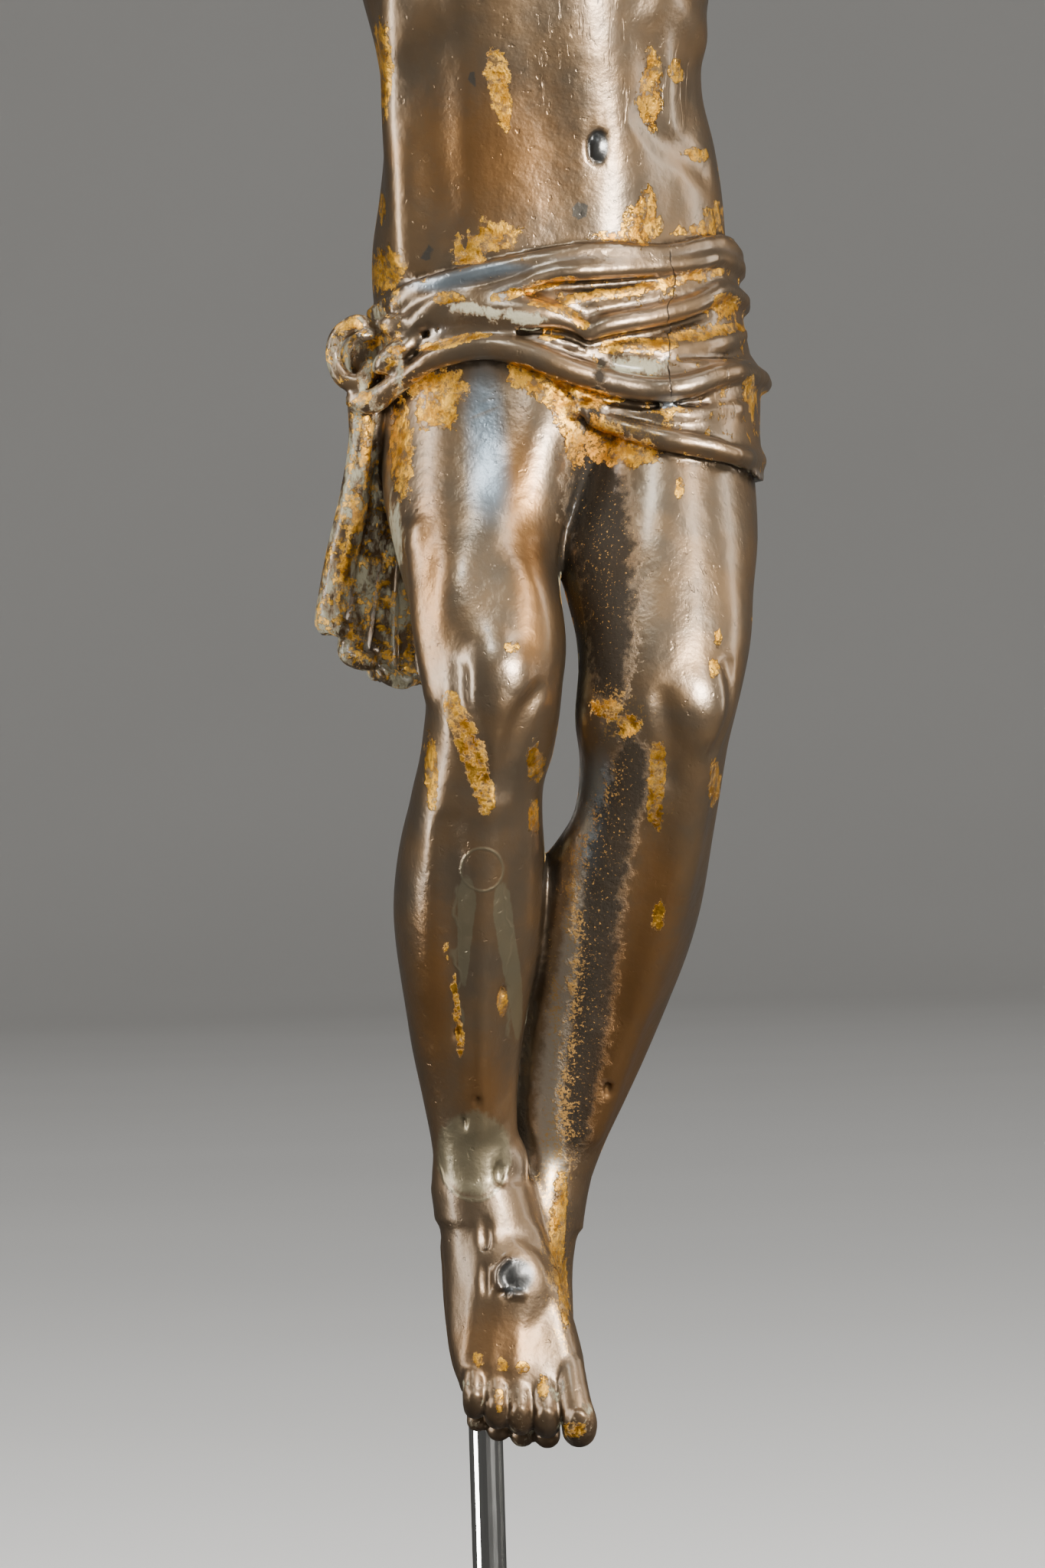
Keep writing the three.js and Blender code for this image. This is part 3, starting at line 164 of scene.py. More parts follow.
class Upright(Shape):
    """A form through level ellipses [z, centre x, centre y, half width, half depth, turn]."""

    def __init__(self, rows):
        self.section, self.rows = table_of(rows), np.array(rows, float)
        reach = self.rows[:, 3:5].max()
        (x0, y0), (x1, y1) = self.rows[:, 1:3].min(0), self.rows[:, 1:3].max(0)
        self.low = np.array([x0 - reach, y0 - reach, rows[0][0]])
        self.high = np.array([x1 + reach, y1 + reach, rows[-1][0]])

    def at(self, x, y, z):
        level = np.clip(z, self.low[2], self.high[2])
        cx, cy, a, b, turn = self.section(level)
        c, s = np.cos(np.radians(turn)), np.sin(np.radians(turn))
        u, v = ((x - cx) * c + (y - cy) * s) / a, ((y - cy) * c - (x - cx) * s) / b
        k = np.sqrt(u * u + v * v)
        across = k * (k - 1) / np.sqrt((u / a)**2 + (v / b)**2 + 1e-9)
        beyond = np.maximum(self.low[2] - z, z - self.high[2])
        outside = np.sqrt(np.maximum(across, 0)**2 + np.maximum(beyond, 0)**2)
        return np.where(beyond > 0, outside, np.maximum(across, beyond))


# %% The grid
class Clay:
    """A block of distances that shapes are joined to and carved out of."""

    def __init__(self, low, high, grain):
        self.low, self.grain = np.array(low, float), grain
        self.count = np.ceil((np.array(high) - low) / grain).astype(int) + 1
        self.field = np.full(self.count, 1e3, np.float32)

    def copy(self):
        other = Clay.__new__(Clay)
        other.low, other.grain, other.count = self.low, self.grain, self.count
        other.field = self.field.copy()
        return other

    def window(self, low, high):
        """The grid's part in a box, and its three rows of coordinates."""
        first = np.clip(np.ceil((low - self.low) / self.grain).astype(int), 0, self.count - 1)
        last = np.clip(np.floor((high - self.low) / self.grain).astype(int) + 1, first + 1, self.count)
        x, y, z = (low + self.grain * np.arange(start, end, dtype=np.float32)
                   for low, start, end in zip(self.low, first, last))
        return tuple(map(slice, first, last)), (x[:, None, None], y[None, :, None], z[None, None, :])

    def press(self, shape, blend, side):
        window, distance = shape.measure(self, blend + 2 * self.grain)
        old = side * self.field[window]
        over = np.maximum(blend - np.abs(old - distance), 0)
        self.field[window] = side * (np.minimum(old, distance) - over * over / (4 * blend))
        return self

    def join(self, shape, blend=1.0):
        return self.press(shape, blend, 1)

    def carve(self, shape, blend=1.0):
        return self.press(shape, blend, -1)

    def at(self, points):
        """The distance at any points, from the eight grid points round each."""
        g = np.clip((points - self.low) / self.grain, 0, self.count - 1.001)
        cell = g.astype(int)
        (u, v, w), (i, j, k) = (g - cell).T, cell.T
        total = 0
        for a, p in ((0, 1 - u), (1, u)):
            for b, q in ((0, 1 - v), (1, v)):
                for c, r in ((0, 1 - w), (1, w)):
                    total = total + p * q * r * self.field[i + a, j + b, k + c]
        return total

    def touch(self, start, way, level, reach=60):
        """The first point from start along way whose distance falls to level, or else the nearest."""
        line = np.array(start) + np.arange(0, reach, self.grain / 4)[:, None] * np.array(way)
        distance = self.at(line)
        hits = np.nonzero(distance <= level)[0]
        return line[hits[0] if len(hits) else distance.argmin()]

    def slope(self, points):
        """The direction straight out of the surface."""
        step = np.eye(3) * self.grain
        out = np.stack([self.at(points + s) - self.at(points - s) for s in step], 1)
        return out / (np.linalg.norm(out, axis=1, keepdims=True) + 1e-9)


# %% Drawing the surface
CORNERS = np.array([[a, b, c] for a in (0, 1) for b in (0, 1) for c in (0, 1)])
EDGES = [(p, q) for p in range(8) for q in range(p + 1, 8) if np.abs(CORNERS[p] - CORNERS[q]).sum() == 1]


def surface_of(clay):
    """A net of four-sided faces over the grid's surface: one point in each cell that it passes through."""
    f = clay.field
    inside = (f < 0).view(np.uint8)
    nx, ny, nz = np.array(f.shape) - 1
    filled = np.zeros((nx, ny, nz), np.uint8)
    for a, b, c in CORNERS:
        filled += inside[a:a + nx, b:b + ny, c:c + nz]
    cells = np.argwhere((filled > 0) & (filled < 8))
    number = np.full((nx, ny, nz), -1, np.int32)
    number[tuple(cells.T)] = np.arange(len(cells))
    values = np.stack([f[tuple((cells + corner).T)] for corner in CORNERS], 1)
    total, hits = np.zeros((len(cells), 3)), np.zeros((len(cells), 1))
    for p, q in EDGES:
        cross = (values[:, p] < 0) != (values[:, q] < 0)
        t = (values[:, p] / np.where(cross, values[:, p] - values[:, q], 1))[:, None]
        total += np.where(cross[:, None], CORNERS[p] + t * (CORNERS[q] - CORNERS[p]), 0)
        hits += cross[:, None]
    points = clay.low + clay.grain * (cells + total / hits)
    faces = []
    for axis in range(3):
        side, up = (axis + 1) % 3, (axis + 2) % 3
        a = np.moveaxis(inside, (axis, side, up), (0, 1, 2))
        n = np.moveaxis(number, (axis, side, up), (0, 1, 2))
        step = a[:-1, 1:-1, 1:-1].astype(np.int8) - a[1:, 1:-1, 1:-1]
        i, j, k = np.nonzero(step)
        ring = np.stack([n[i, j, k], n[i, j + 1, k], n[i, j + 1, k + 1], n[i, j, k + 1]], 1)
        out = step[i, j, k] > 0
        faces += [ring[out], ring[~out][:, ::-1]]
    points -= 0.8 * clay.at(points)[:, None] * clay.slope(points)
    return points, np.vstack(faces)


# %% [markdown]
# ## The body
# The trunk, legs and feet are each a pile of level ellipses, because the photograph gives their width
# and place at every height. Their depth is what a body of that width has: the knees come forward, and
# the shins go back to the crossed feet. Units here are millimetres in the figure's own frame: x from the
# rod, y from the plane that touches the back, z from the tip of the big toe.

# %% Trunk and legs
torso = Upright([
    [141, 16.8, -21, 21, 12, 3], [147, 16.2, -20.5, 25.2, 15.8, 4], [157, 15.6, -20, 25.6, 16.8, 6],
    [166.5, 14.6, -20, 26, 16.4, 9], [173.5, 14.4, -20.5, 25.9, 15.6, 12],
    [180.6, 14.8, -21, 25.3, 15.2, 15], [187.6, 14.8, -21.5, 24.5, 15, 17],
    [195, 14.1, -22, 23.6, 15.4, 17], [202, 13.8, -22.5, 24, 16.4, 16],
    [209, 13.6, -22.8, 25.3, 17.2, 14], [217, 13.4, -22.6, 27, 17.8, 12],
    [226, 13.1, -22, 28.6, 17.8, 10], [235, 12.8, -20.8, 28.6, 17, 8], [243, 12.4, -19.5, 26.5, 15, 6],
    [249, 12, -18.5, 19, 11.5, 4], [254, 11.4, -18.5, 10, 8.5, 0]])
right_leg = Upright([
    [34, 0.6, -21, 6.6, 6.4, 0], [43.5, -0.1, -22, 6.2, 6.3, 0], [51.3, -0.7, -23.5, 6.8, 6.9, 0],
    [59.2, -0.9, -25.5, 8, 8, 0], [68.3, -0.5, -28, 9.4, 9.6, 0], [78.2, -0.1, -31, 10.4, 11, 0],
    [86.9, 0.7, -34.5, 10.2, 10.8, 0], [95.3, 1.7, -38, 9.4, 9.8, 0], [100.6, 3.2, -40.5, 9.5, 9.4, 0],
    [106.7, 4.3, -42.5, 9.6, 9.6, 0], [111, 4.8, -43, 9.3, 9.8, 0], [115.5, 4.8, -42, 9.6, 10.4, 0],
    [123.4, 3.5, -37.5, 10.9, 11.8, 0], [131.2, 2.9, -32.5, 12.2, 13.4, 0],
    [138.6, 3.6, -27.5, 14.2, 14.6, 0], [147.4, 4.5, -23, 14.8, 15, 0], [156, 4.6, -20.5, 13.6, 14, 0]])
left_leg = Upright([
    [31.6, 9.4, -11.5, 5.4, 5.4, 0], [36.2, 10.1, -12, 5.5, 5.6, 0], [43.2, 11.1, -13.5, 7.2, 6, 0],
    [50.2, 12.7, -15.5, 9.1, 6.8, 0], [57.2, 14.9, -17.5, 10.3, 7.8, 0],
    [67.7, 18.2, -21.5, 11.6, 9.4, 0], [76.4, 21.1, -25.5, 11.6, 10.6, 0],
    [85.2, 23.3, -29.5, 11.4, 10.6, 0], [92.2, 25.8, -33, 10.3, 10, 0], [98.3, 26.8, -36, 10.4, 9.8, 0],
    [104.8, 27.4, -38.5, 11.1, 10.2, 0], [109.7, 28.1, -38.5, 11.5, 10.8, 0],
    [116.7, 28.9, -36, 12.4, 11.8, 0], [123.8, 28.6, -32.5, 13.6, 13.2, 0],
    [130.4, 28.4, -29, 14.6, 14.6, 0], [137.8, 29.2, -25, 13.8, 15.6, 0],
    [146.6, 29.8, -21.5, 12.8, 15.6, 0], [155, 30, -20, 12.6, 14.6, 0]])
upper_foot = Upright([
    [9, 5.8, -26.6, 9, 3.6, 5], [13, 5.2, -25.8, 9.4, 4.4, 5], [18.6, 4.2, -24, 9.2, 5.2, 4],
    [25.6, 3.1, -22.8, 8.2, 6.2, 2], [31, 1.9, -21.8, 7.4, 6.6, 0], [38, 0.8, -21.2, 6.6, 6.6, 0]])
lower_foot = Upright([
    [6, 5, -15.5, 7, 3.6, 0], [12, 4.4, -14.2, 8.8, 4.2, 0], [18.6, 4, -12.8, 9.3, 4.8, 0],
    [25.6, 3.9, -11.6, 9.5, 5.4, 0], [32, 4.6, -11.2, 9.8, 5.6, 0], [38, 7.6, -12, 7.6, 5.6, 0]])

# %% Muscles and bones of the trunk
trunk_forms = [
    (Ball([0.5, -31.6, 231], [12.5, 5.6, 8.6], [0, -10, -12]), 6),
    (Ball([26.5, -31.6, 230.5], [12.5, 5.6, 8.6], [0, 10, 20]), 6),
    (Ball([-2, -10.5, 229], [9, 5, 12], [0, 12, 0]), 5),
    (Ball([27, -10.5, 229], [9, 5, 12], [0, -12, 0]), 5),
    (Ball([4.5, -13.5, 152], [13, 10.5, 13]), 5),
    (Ball([28.5, -13.5, 151], [13, 10.5, 13]), 5)]
# Laid on the skin: rows [x, z, radius], how deep the middle sinks, seam
trunk_ridges = [
    ([[17, 216.5, 2], [9, 213, 2], [1.5, 208, 1.8], [-4.5, 204, 1.4]], 2, 5),
    ([[22.5, 216.5, 2], [28.5, 212.5, 2], [32.6, 207, 1.8], [35, 203, 1.4]], 2, 5),
    ([[19.4, 214, 6], [20.2, 200, 7], [21.4, 187, 7], [21.4, 174, 6]], 6, 5),
    ([[28.6, 206, 2], [30.4, 198, 2], [30.2, 190, 1.6]], 2.4, 4),
    ([[-5.8, 208, 2], [-6.2, 194, 2.2], [-5.6, 184, 2.2], [-5.4, 172, 1.8]], 1.5, 3.5)]
# Carved along the skin: rows [x, z, radius], how far the middle stands off, seam
trunk_creases = [
    ([[-1.5, 206, 1.6], [-2, 192, 1.8], [-1.4, 180, 1.6]], 2.4, 4),
    ([[29, 191, 0.8], [32.4, 188, 0.9], [38, 183.8, 0.8]], 1.5, 3.2)]
trunk_hollows = [
    (Strand([[18.5, -41.5, 238, 1.5], [19, -42.5, 228, 1.6], [19.6, -42, 218, 1.5]]), 4),
    (Strand([[13, -2.4, 240, 1.6], [12.5, -2.6, 215, 1.9], [13.2, -4.2, 190, 2], [15.5, -1.6, 168, 1.6]]),
     4)]

# %% Muscles and bones of the legs and feet
leg_forms = [
    (Ball([5, -50.1, 111.6], [4.4, 3.2, 5]), 2.4),
    (Ball([9.2, -43, 119], [4.2, 5.4, 9], [0, -8, 0]), 4),
    (Ball([-1, -43, 119.5], [4.2, 5.6, 10], [0, 8, 0]), 4),
    (Strand([[5, -50.6, 107, 1.7], [4.2, -48.2, 100.5, 2], [3.2, -45.4, 94, 2]]), 2.6),
    (Strand([[3.4, -45.4, 95, 2], [2.2, -40.6, 80, 2], [0.8, -34.2, 63, 1.8], [0.4, -28.2, 48, 1.6]]), 3),
    (Ball([-3.9, -30, 80], [5, 8.6, 16]), 4),
    (Ball([4.9, -28.4, 82], [5, 8.6, 14]), 4),
    (Ball([10.2, -30.5, 140.5], [7, 9.4, 14], [0, 12, 0]), 5),
    (Ball([5.2, -21.6, 41.6], [2, 2.6, 3.2]), 2.4),
    (Ball([-3.8, -21.4, 39.2], [2, 2.6, 3]), 2.4),
    (Ball([34, -44.6, 106.8], [4.6, 3.6, 5.4], [0, 0, 35]), 2.6),
    (Ball([25, -41, 113.4], [5, 5, 8.6], [0, -8, 0]), 4),
    (Ball([21.6, -39.6, 105.8], [4.6, 6, 7]), 2.6),
    (Ball([34.6, -36.4, 114.6], [4.4, 6, 11], [0, 6, 20]), 4),
    (Strand([[33.6, -43.8, 101.6, 1.9], [32.2, -40.6, 94, 2.2], [29.6, -34.8, 81, 2], [22.8, -25.8, 62, 1.8],
             [16.4, -18.6, 46, 1.5]]), 3.4),
    (Ball([16.8, -24.6, 79], [6.2, 9, 13], [0, 16, 0]), 4),
    (Ball([26.6, -25.4, 80], [4.8, 8, 15], [0, 14, 0]), 4),
    (Ball([12.4, -12.6, 36.4], [2, 3, 3]), 2),
    (Ball([0.8, -15.2, 36.5], [4.4, 4, 6]), 3),
    (Ball([8.2, -6.6, 34.5], [4.8, 4, 6.5]), 3),
    (Ball([8.6, -16.5, 30], [4.2, 4.6, 13], [0, 6, 0]), 2.4)]
leg_ridges = [
    ([[-5.4, 132, 1.4], [-4.8, 120, 1.6], [-3.4, 110, 1.4]], 1.2, 2.6)]
leg_creases = [
    ([[-0.9, 112, 0.9], [-1, 107, 0.9], [1.4, 101, 0.9], [2.6, 96, 0.8]], 1, 2.4),
    ([[11.2, 109, 0.8], [8.6, 105.6, 0.9], [6.6, 100, 0.8], [6, 95, 0.7]], 0.7, 2),
    ([[-3, 90, 1.2], [-2.4, 76, 1.4], [-2, 60, 1.2], [-2, 48, 1]], 1.6, 3),
    ([[28.4, 108, 0.8], [29.2, 102, 0.9], [29, 96, 0.8]], 0.8, 2),
    ([[38.6, 112, 0.7], [39, 106, 0.8], [36.6, 100, 0.8]], 0.8, 2),
    ([[27, 88, 1.2], [24, 76, 1.4], [20, 62, 1.2]], 1.6, 3)]

# Toes, little toe first: [root x, tip x, tip z, radius]
upper_toes = [[-1.4, -1.3, 7.2, 1.75], [1.7, 1.9, 5.8, 1.95], [5, 5.2, 4.9, 2], [8.6, 8.9, 4.4, 2.05],
              [12.4, 13.6, 3.5, 2.6]]
lower_toes = [[-0.6, -1, 4.6, 1.6], [2.4, 2, 3.2, 1.7], [5.6, 5.4, 2.4, 1.8], [9, 9, 2.2, 1.9]]
toe_forms = []
for root, tip, z, r in upper_toes:
    toe_forms += [
        (Strand([[root, -27, 12.4, r * 0.85], [root + (tip - root) * 0.5, -29.2, z + 4, r * 0.92],
                 [tip, -29.6, z + 1, r], [tip, -27.6, z - 0.4, r * 0.95]]), 0.35),
        (Ball([tip, -29.6 - r * 0.86, z + 1.2], [r * 0.6, 0.6, r * 0.7], [20, 0, 0]), 0.1)]
for root, tip, z, r in lower_toes:
    toe_forms.append((Strand([[root, -16.5, 9.6, r], [root + (tip - root) * 0.6, -19.4, z + 2.6, r],
                              [tip, -22.4, z, r]]), 0.5))
foot_ridges = [
    ([[1.2, 31, 1.1], [0, 24, 1.1], [-1.6, 14, 0.9]], 1.3, 2.2),
    ([[3, 21, 1], [2, 17, 1.1], [1.2, 13, 0.9]], 1.1, 2),
    ([[5.4, 19.6, 1.1], [4.8, 16, 1.2], [4.6, 13, 1.1]], 1.2, 2),
    ([[7.2, 31, 1.3], [9.6, 23, 1.4], [11.6, 14, 1.5]], 1.4, 2.4)]

# %% [markdown]
# ## Arms, hands and head
# The photograph ends above the belly. The arms follow ordinary proportions, with the hands held by their
# palms. The head is bowed to its right. Its face is plain and calm, set out by halves and thirds: eyes at
# half height, then brow, nose and chin a third each.

# %% Arms and hands
arm_rows = [
    [[-6, -19, 238, 10.4], [-17, -18, 245.5, 8.8], [-29, -16.6, 252, 7.2], [-41, -14.6, 259, 6.9],
     [-54, -12.8, 266.6, 5.6], [-60, -12.2, 270, 5.5]],
    [[-60, -12.4, 270, 5.4], [-68, -11.4, 275, 5.8], [-80, -9.6, 281.4, 4.9], [-93, -7.8, 287.6, 3.5],
     [-101, -6.8, 291, 3.2]],
    [[31, -19, 238, 10.4], [42, -18, 245.5, 8.8], [54, -16.6, 251.6, 7.2], [66, -14.6, 258, 6.9],
     [79, -12.8, 265, 5.6], [85, -12.2, 268.4, 5.5]],
    [[85, -12.4, 268.4, 5.4], [93, -11.4, 273, 5.8], [105, -9.6, 279.6, 4.9], [118, -7.8, 286, 3.5],
     [126, -6.8, 289.4, 3.2]]]
arm_forms = [
    (Ball([-15, -20, 247], [9.5, 8, 7.4], [0, 28, 0]), 4),
    (Ball([40, -20, 247], [9.5, 8, 7.4], [0, -28, 0]), 4),
    (Ball([-37, -17.6, 256], [10, 5, 5.4], [0, 30, 0]), 4),
    (Ball([62, -17.6, 255.4], [10, 5, 5.4], [0, -28, 0]), 4),
    (Strand([[-3, -28, 231, 4.6], [-13, -25, 238, 4.2], [-25, -20.5, 248, 3.8]]), 5),
    (Strand([[29, -28, 231, 4.6], [38.5, -25, 238, 4.2], [50, -20.5, 248, 3.8]]), 5),
    (Strand([[-13, -15, 222, 4.6], [-16.5, -14, 234, 4.4], [-26, -13.6, 247, 3.8]]), 5),
    (Strand([[38.5, -15, 222, 4.6], [41.5, -14, 234, 4.4], [51, -13.6, 246.6, 3.8]]), 5)]


def hand(wrist, way, up):
    """A palm to the front with half closed fingers."""
    wrist, way, up = map(np.array, (wrist, way, up))

    def place(along, across, depth, r):
        return [*(wrist + way * along + up * across + np.array([0, depth, 0])), r]

    forms = [
        (Strand([place(0, 0, 0, 3), place(3, 0, 0, 3.3)]), 2.5),
        (Strand([place(4, -2.6, 0.2, 2.3), place(12, -3.8, 0.2, 2)]), 2),
        (Strand([place(3, 0, 0.2, 2.5), place(12, 0, 0.2, 2.2)]), 2),
        (Strand([place(4, 2.4, 0.2, 2.5), place(12, 3.6, 0.2, 2)]), 2),
        (Strand([place(3.4, 2.6, -0.8, 2.2), place(8, 5.6, -2, 1.9), place(12.6, 7, -3.2, 1.6),
                 place(15, 6.4, -4.4, 1.4)]), 1.5)]
    for i, (across, reach) in enumerate(zip((-4.1, -1.4, 1.3, 3.9), (8.6, 10.6, 11.2, 9.8))):
        wide = across * (1 + 0.05 * i)
        forms.append((Strand([
            place(12, across, 0.4, 1.5),
            place(12 + reach * 0.5, wide * 1.06, -1.2, 1.35),
            place(12 + reach * 0.8, wide * 1.06, -3.2, 1.25),
            place(12 + reach * 0.86, wide, -5.6, 1.15)]), 0.8))
    return forms


PALM_REACH = 8
hands = [dict(wrist=[-102, -6.6, 291.4], way=[-0.93, 0, 0.368], up=[0.368, 0, 0.93]),
         dict(wrist=[127, -6.6, 289.8], way=[0.93, 0, 0.368], up=[-0.368, 0, 0.93])]

# %% Head
HEAD_CENTRE, HEAD_TURNS = np.array([3.4, -31, 272]), (24, -17, -14)
head_turn = turn_matrix(HEAD_TURNS)


def on_head(p):
    return head_turn @ np.array(p[:3], float) + HEAD_CENTRE


def head_ball(centre, radii):
    return Ball(on_head(centre), radii, HEAD_TURNS)


def head_strand(rows, steps=4):
    return Strand([[*on_head(r), r[3]] for r in rows], steps)


neck = Strand([[12, -17.5, 246, 8.4], [9, -20.5, 256, 7.2], [5.6, -25, 265, 7]])
head_forms = [
    (head_ball([0, 2.5, 5], [12.2, 14.6, 13]), 3),
    (head_ball([0, -5, -4], [9.6, 9.6, 12.4]), 4),
    (head_ball([0, -6.4, -11.6], [7, 7, 6.4]), 3),
    (head_ball([0, -12.2, -15.4], [2.8, 2.4, 2.4]), 2),
    (head_strand([[-6, -11.6, 3.2, 1.3], [-3.2, -13.9, 3.6, 1.4], [0, -14.4, 2.6, 1.2],
                  [3.2, -13.9, 3.6, 1.4], [6, -11.6, 3.2, 1.3]]), 1.5)]
head_hollows = [(head_ball([s * 4.2, -14.6, 0.2], [2.9, 2, 1.9]), 1.5) for s in (-1, 1)]
face_forms = [
    (head_strand([[0, -14.2, 2, 1], [0, -15.7, -2, 1.1], [0, -16.9, -6, 1.5]]), 1.2),
    (head_strand([[-2.9, -13.2, -10.4, 0.6], [0, -14.8, -10, 0.9], [2.9, -13.2, -10.4, 0.6]]), 0.6),
    (head_strand([[-2.3, -13.2, -11.6, 0.6], [0, -14.5, -11.9, 1], [2.3, -13.2, -11.6, 0.6]]), 0.6)]
beard = [
    (head_strand([[0, -12.8, -14.6, 1.8], [-0.9, -13.6, -18.4, 1.7], [-1.4, -12.6, -21.6, 0.8]]), 1),
    (head_strand([[0, -12.8, -14.6, 1.8], [1, -13.6, -18.4, 1.7], [1.8, -12.8, -21.2, 0.8]]), 1)]
hair = []
LOCKS = 7
for s in (-1, 1):
    face_forms += [
        (head_ball([s * 4.2, -11.9, -0.2], [2.7, 1.9, 1.7]), 0.6),
        (head_ball([s * 6.2, -10.2, -4.6], [2.6, 2.4, 2.2]), 2.5),
        (head_ball([s * 1.5, -15, -6.6], [1.1, 1.3, 1]), 0.7)]
    beard.append((head_strand([[0.7 * s, -15.2, -8.6, 0.9], [2.6 * s, -14, -9.4, 0.9],
                               [4 * s, -12.4, -11.6, 0.7]]), 0.6))
    for i in range(4):
        beard.append((head_strand([
            [s * (9 - i * 1.6), -4 - i * 2.1, -8 - i * 1.4, 1.5],
            [s * (8 - i * 1.7), -6.4 - i * 2, -12.6 - i * 1.2, 1.7],
            [s * (5.8 - i * 1.4), -9 - i * 1.7, -17 - i * 0.9, 1.2]]), 1))
    for i in range(LOCKS):
        around = math.radians(-32 + 122 * i / (LOCKS - 1))
        c, b = math.cos(around), math.sin(around)
        wave = 0.7 if i % 2 else -0.7
        hair.append((head_strand([
            [s * 1.2, 2 + 8 * b, 17.2 - 2 * abs(b), 1.6],
            [s * (5 + 3.6 * c), 2.6 + 12 * b, 13.6, 2.1],
            [s * (4 + 9 * c), 2.8 + 14.4 * b, 5, 2.2],
            [s * (4 + 9 * c + wave), 3 + 13.6 * b, -4, 2.2],
            [s * (4.4 + 7.4 * c - wave), 4 + 11.4 * b, -12, 2.1],
            [s * (5.4 + 5.4 * c + wave), 4.6 + 9.4 * b, -19, 1.5]]), 0.9))

CROWN_TURNS = 7


def crown_strand(phase):
    """One of the two rods that are twisted round each other."""
    rows = []
    for i in range(CROWN_TURNS * 6 + 1):
        around = i / (CROWN_TURNS * 6) * 2 * math.pi
        twist = CROWN_TURNS * around + phase
        out = 1 + 0.085 * math.cos(twist)
        rows.append([12.6 * out * math.sin(around), 1.2 - 15.2 * out * math.cos(around),
                     8 + 1.3 * math.sin(twist), 1.15])
    return head_strand(rows, 1)


# %% [markdown]
# ## Loincloth
# On the real casting the cloth is part of the same wax as the body: a sheet wrapped round the hips whose
# folds run together at the knot. It could be simulated, but bronze drapery is drawn, not draped. So it is
# the body's own surface moved outwards, cut off along its two edges, with each fold laid on as a roll.

# %% The cloth's edges and folds
CLOTH_THICKNESS = 1.3
CLOTH_SIDE_Y = -20
front_top = [[-13, 164.6], [-7.2, 167.9], [-1.5, 169.4], [5.4, 170.8], [15.1, 172.6], [22.9, 172.9],
             [31.7, 172.5], [37.3, 173.8], [42, 174.9], [46, 175]]
front_bottom = [[-13, 150.5], [-9.4, 152.1], [-3.7, 156.2], [-0.1, 157], [3.3, 157.3], [7.2, 156.7],
                [13.6, 154], [17.9, 150.2], [19.6, 147.2], [26.5, 144.6], [34.6, 142.3], [40.2, 141.3],
                [43.7, 138.8], [46, 138.4]]
back_top = [[-13, 164.6], [2, 168], [20, 170], [36, 173], [46, 175]]
back_bottom = [[-13, 150.5], [0, 144], [16, 141], [32, 138.5], [46, 138.4]]
# Rows [x, z, radius], after how far the middle stands off the cloth as a share of the radius.
# Folds marked round go on behind the body to their start
folds = [
    ("round", -0.1, [[-8, 165.4, 1.1], [-1.6, 168, 1], [5.4, 169.6, 0.9], [18.5, 171.8, 0.9],
                     [30, 171.7, 0.9], [39, 173.2, 1]]),
    ("round", 0.3, [[5, 166.2, 1], [9.7, 167.2, 1.3], [14.1, 168.9, 1.4], [21.1, 169.3, 1.5],
                    [33.7, 170, 1.3], [39, 171, 1.1]]),
    ("front", 0, [[-8, 160.6, 1.4], [-4, 163.4, 1.9], [0.1, 165.6, 1.7], [3.8, 166, 1]]),
    ("front", 0, [[-1.6, 162.8, 1.4], [3.6, 164, 2.2], [9.6, 163.6, 2.4], [15.3, 162.6, 1.9],
                  [20, 160.4, 0.7]]),
    ("front", -0.3, [[17, 164.8, 0.7], [24, 165.6, 0.9], [33.6, 167.2, 0.9], [38.6, 168.4, 0.7]]),
    ("round", 0.4, [[19.6, 160, 1], [21.6, 161.2, 1.5], [24.8, 161.8, 1.6], [29.2, 162.5, 1.6],
                    [34.9, 164.2, 1.5], [39.4, 166.4, 1.2]]),
    ("front", 0, [[-7.9, 158.2, 1], [-1.5, 160.6, 1.2], [5.2, 161.6, 1.2], [9.6, 161.2, 1], [13.9, 159.8, 1],
                  [18.6, 158.6, 0.8]]),
    ("round", 0.45, [[-8.4, 154.2, 1.3], [-3.6, 157, 1.6], [2.5, 158.6, 1.7], [6.9, 158.6, 1.8],
                     [11.2, 157.4, 1.8], [16.3, 155.2, 1.9], [22.4, 153.2, 1.9], [28, 152, 1.9],
                     [33.2, 152.2, 1.8], [40.4, 154.4, 1.4]]),
    ("front", -0.2, [[24, 157.6, 1.2], [31, 157.4, 1.5], [38, 158.6, 1.4], [41.6, 160, 1]]),
    ("front", -0.1, [[20.2, 151, 0.8], [25, 149.4, 1.1], [33, 148.2, 1.1], [40.6, 149, 0.9]]),
    ("round", 0.35, [[18.6, 149.4, 0.8], [21, 147.8, 1.2], [24.8, 146.4, 1.4], [29.9, 144.8, 1.5],
                     [36, 143.6, 1.5], [41.4, 142, 1.3]])]
# Cut under the boldest folds: rows [x, z, radius]
undercuts = [
    [[6.8, 165.6, 0.4], [12.4, 166.8, 0.5], [21.1, 167.2, 0.6], [29, 167.8, 0.4]],
    [[9.6, 160.9, 0.5], [15.3, 160.3, 0.6], [19.4, 158.6, 0.5]],
    [[20.6, 158.8, 0.5], [24.8, 159.6, 0.6], [29.2, 160.3, 0.6], [37, 162.8, 0.5]],
    [[-4, 154.8, 0.4], [3, 156.2, 0.5], [9, 155.4, 0.6], [16.3, 152.4, 0.6], [22.4, 150.6, 0.6],
     [28, 149.6, 0.6], [36, 150.2, 0.5]],
    [[-5, 160.4, 0.4], [-1, 161.6, 0.4]]]


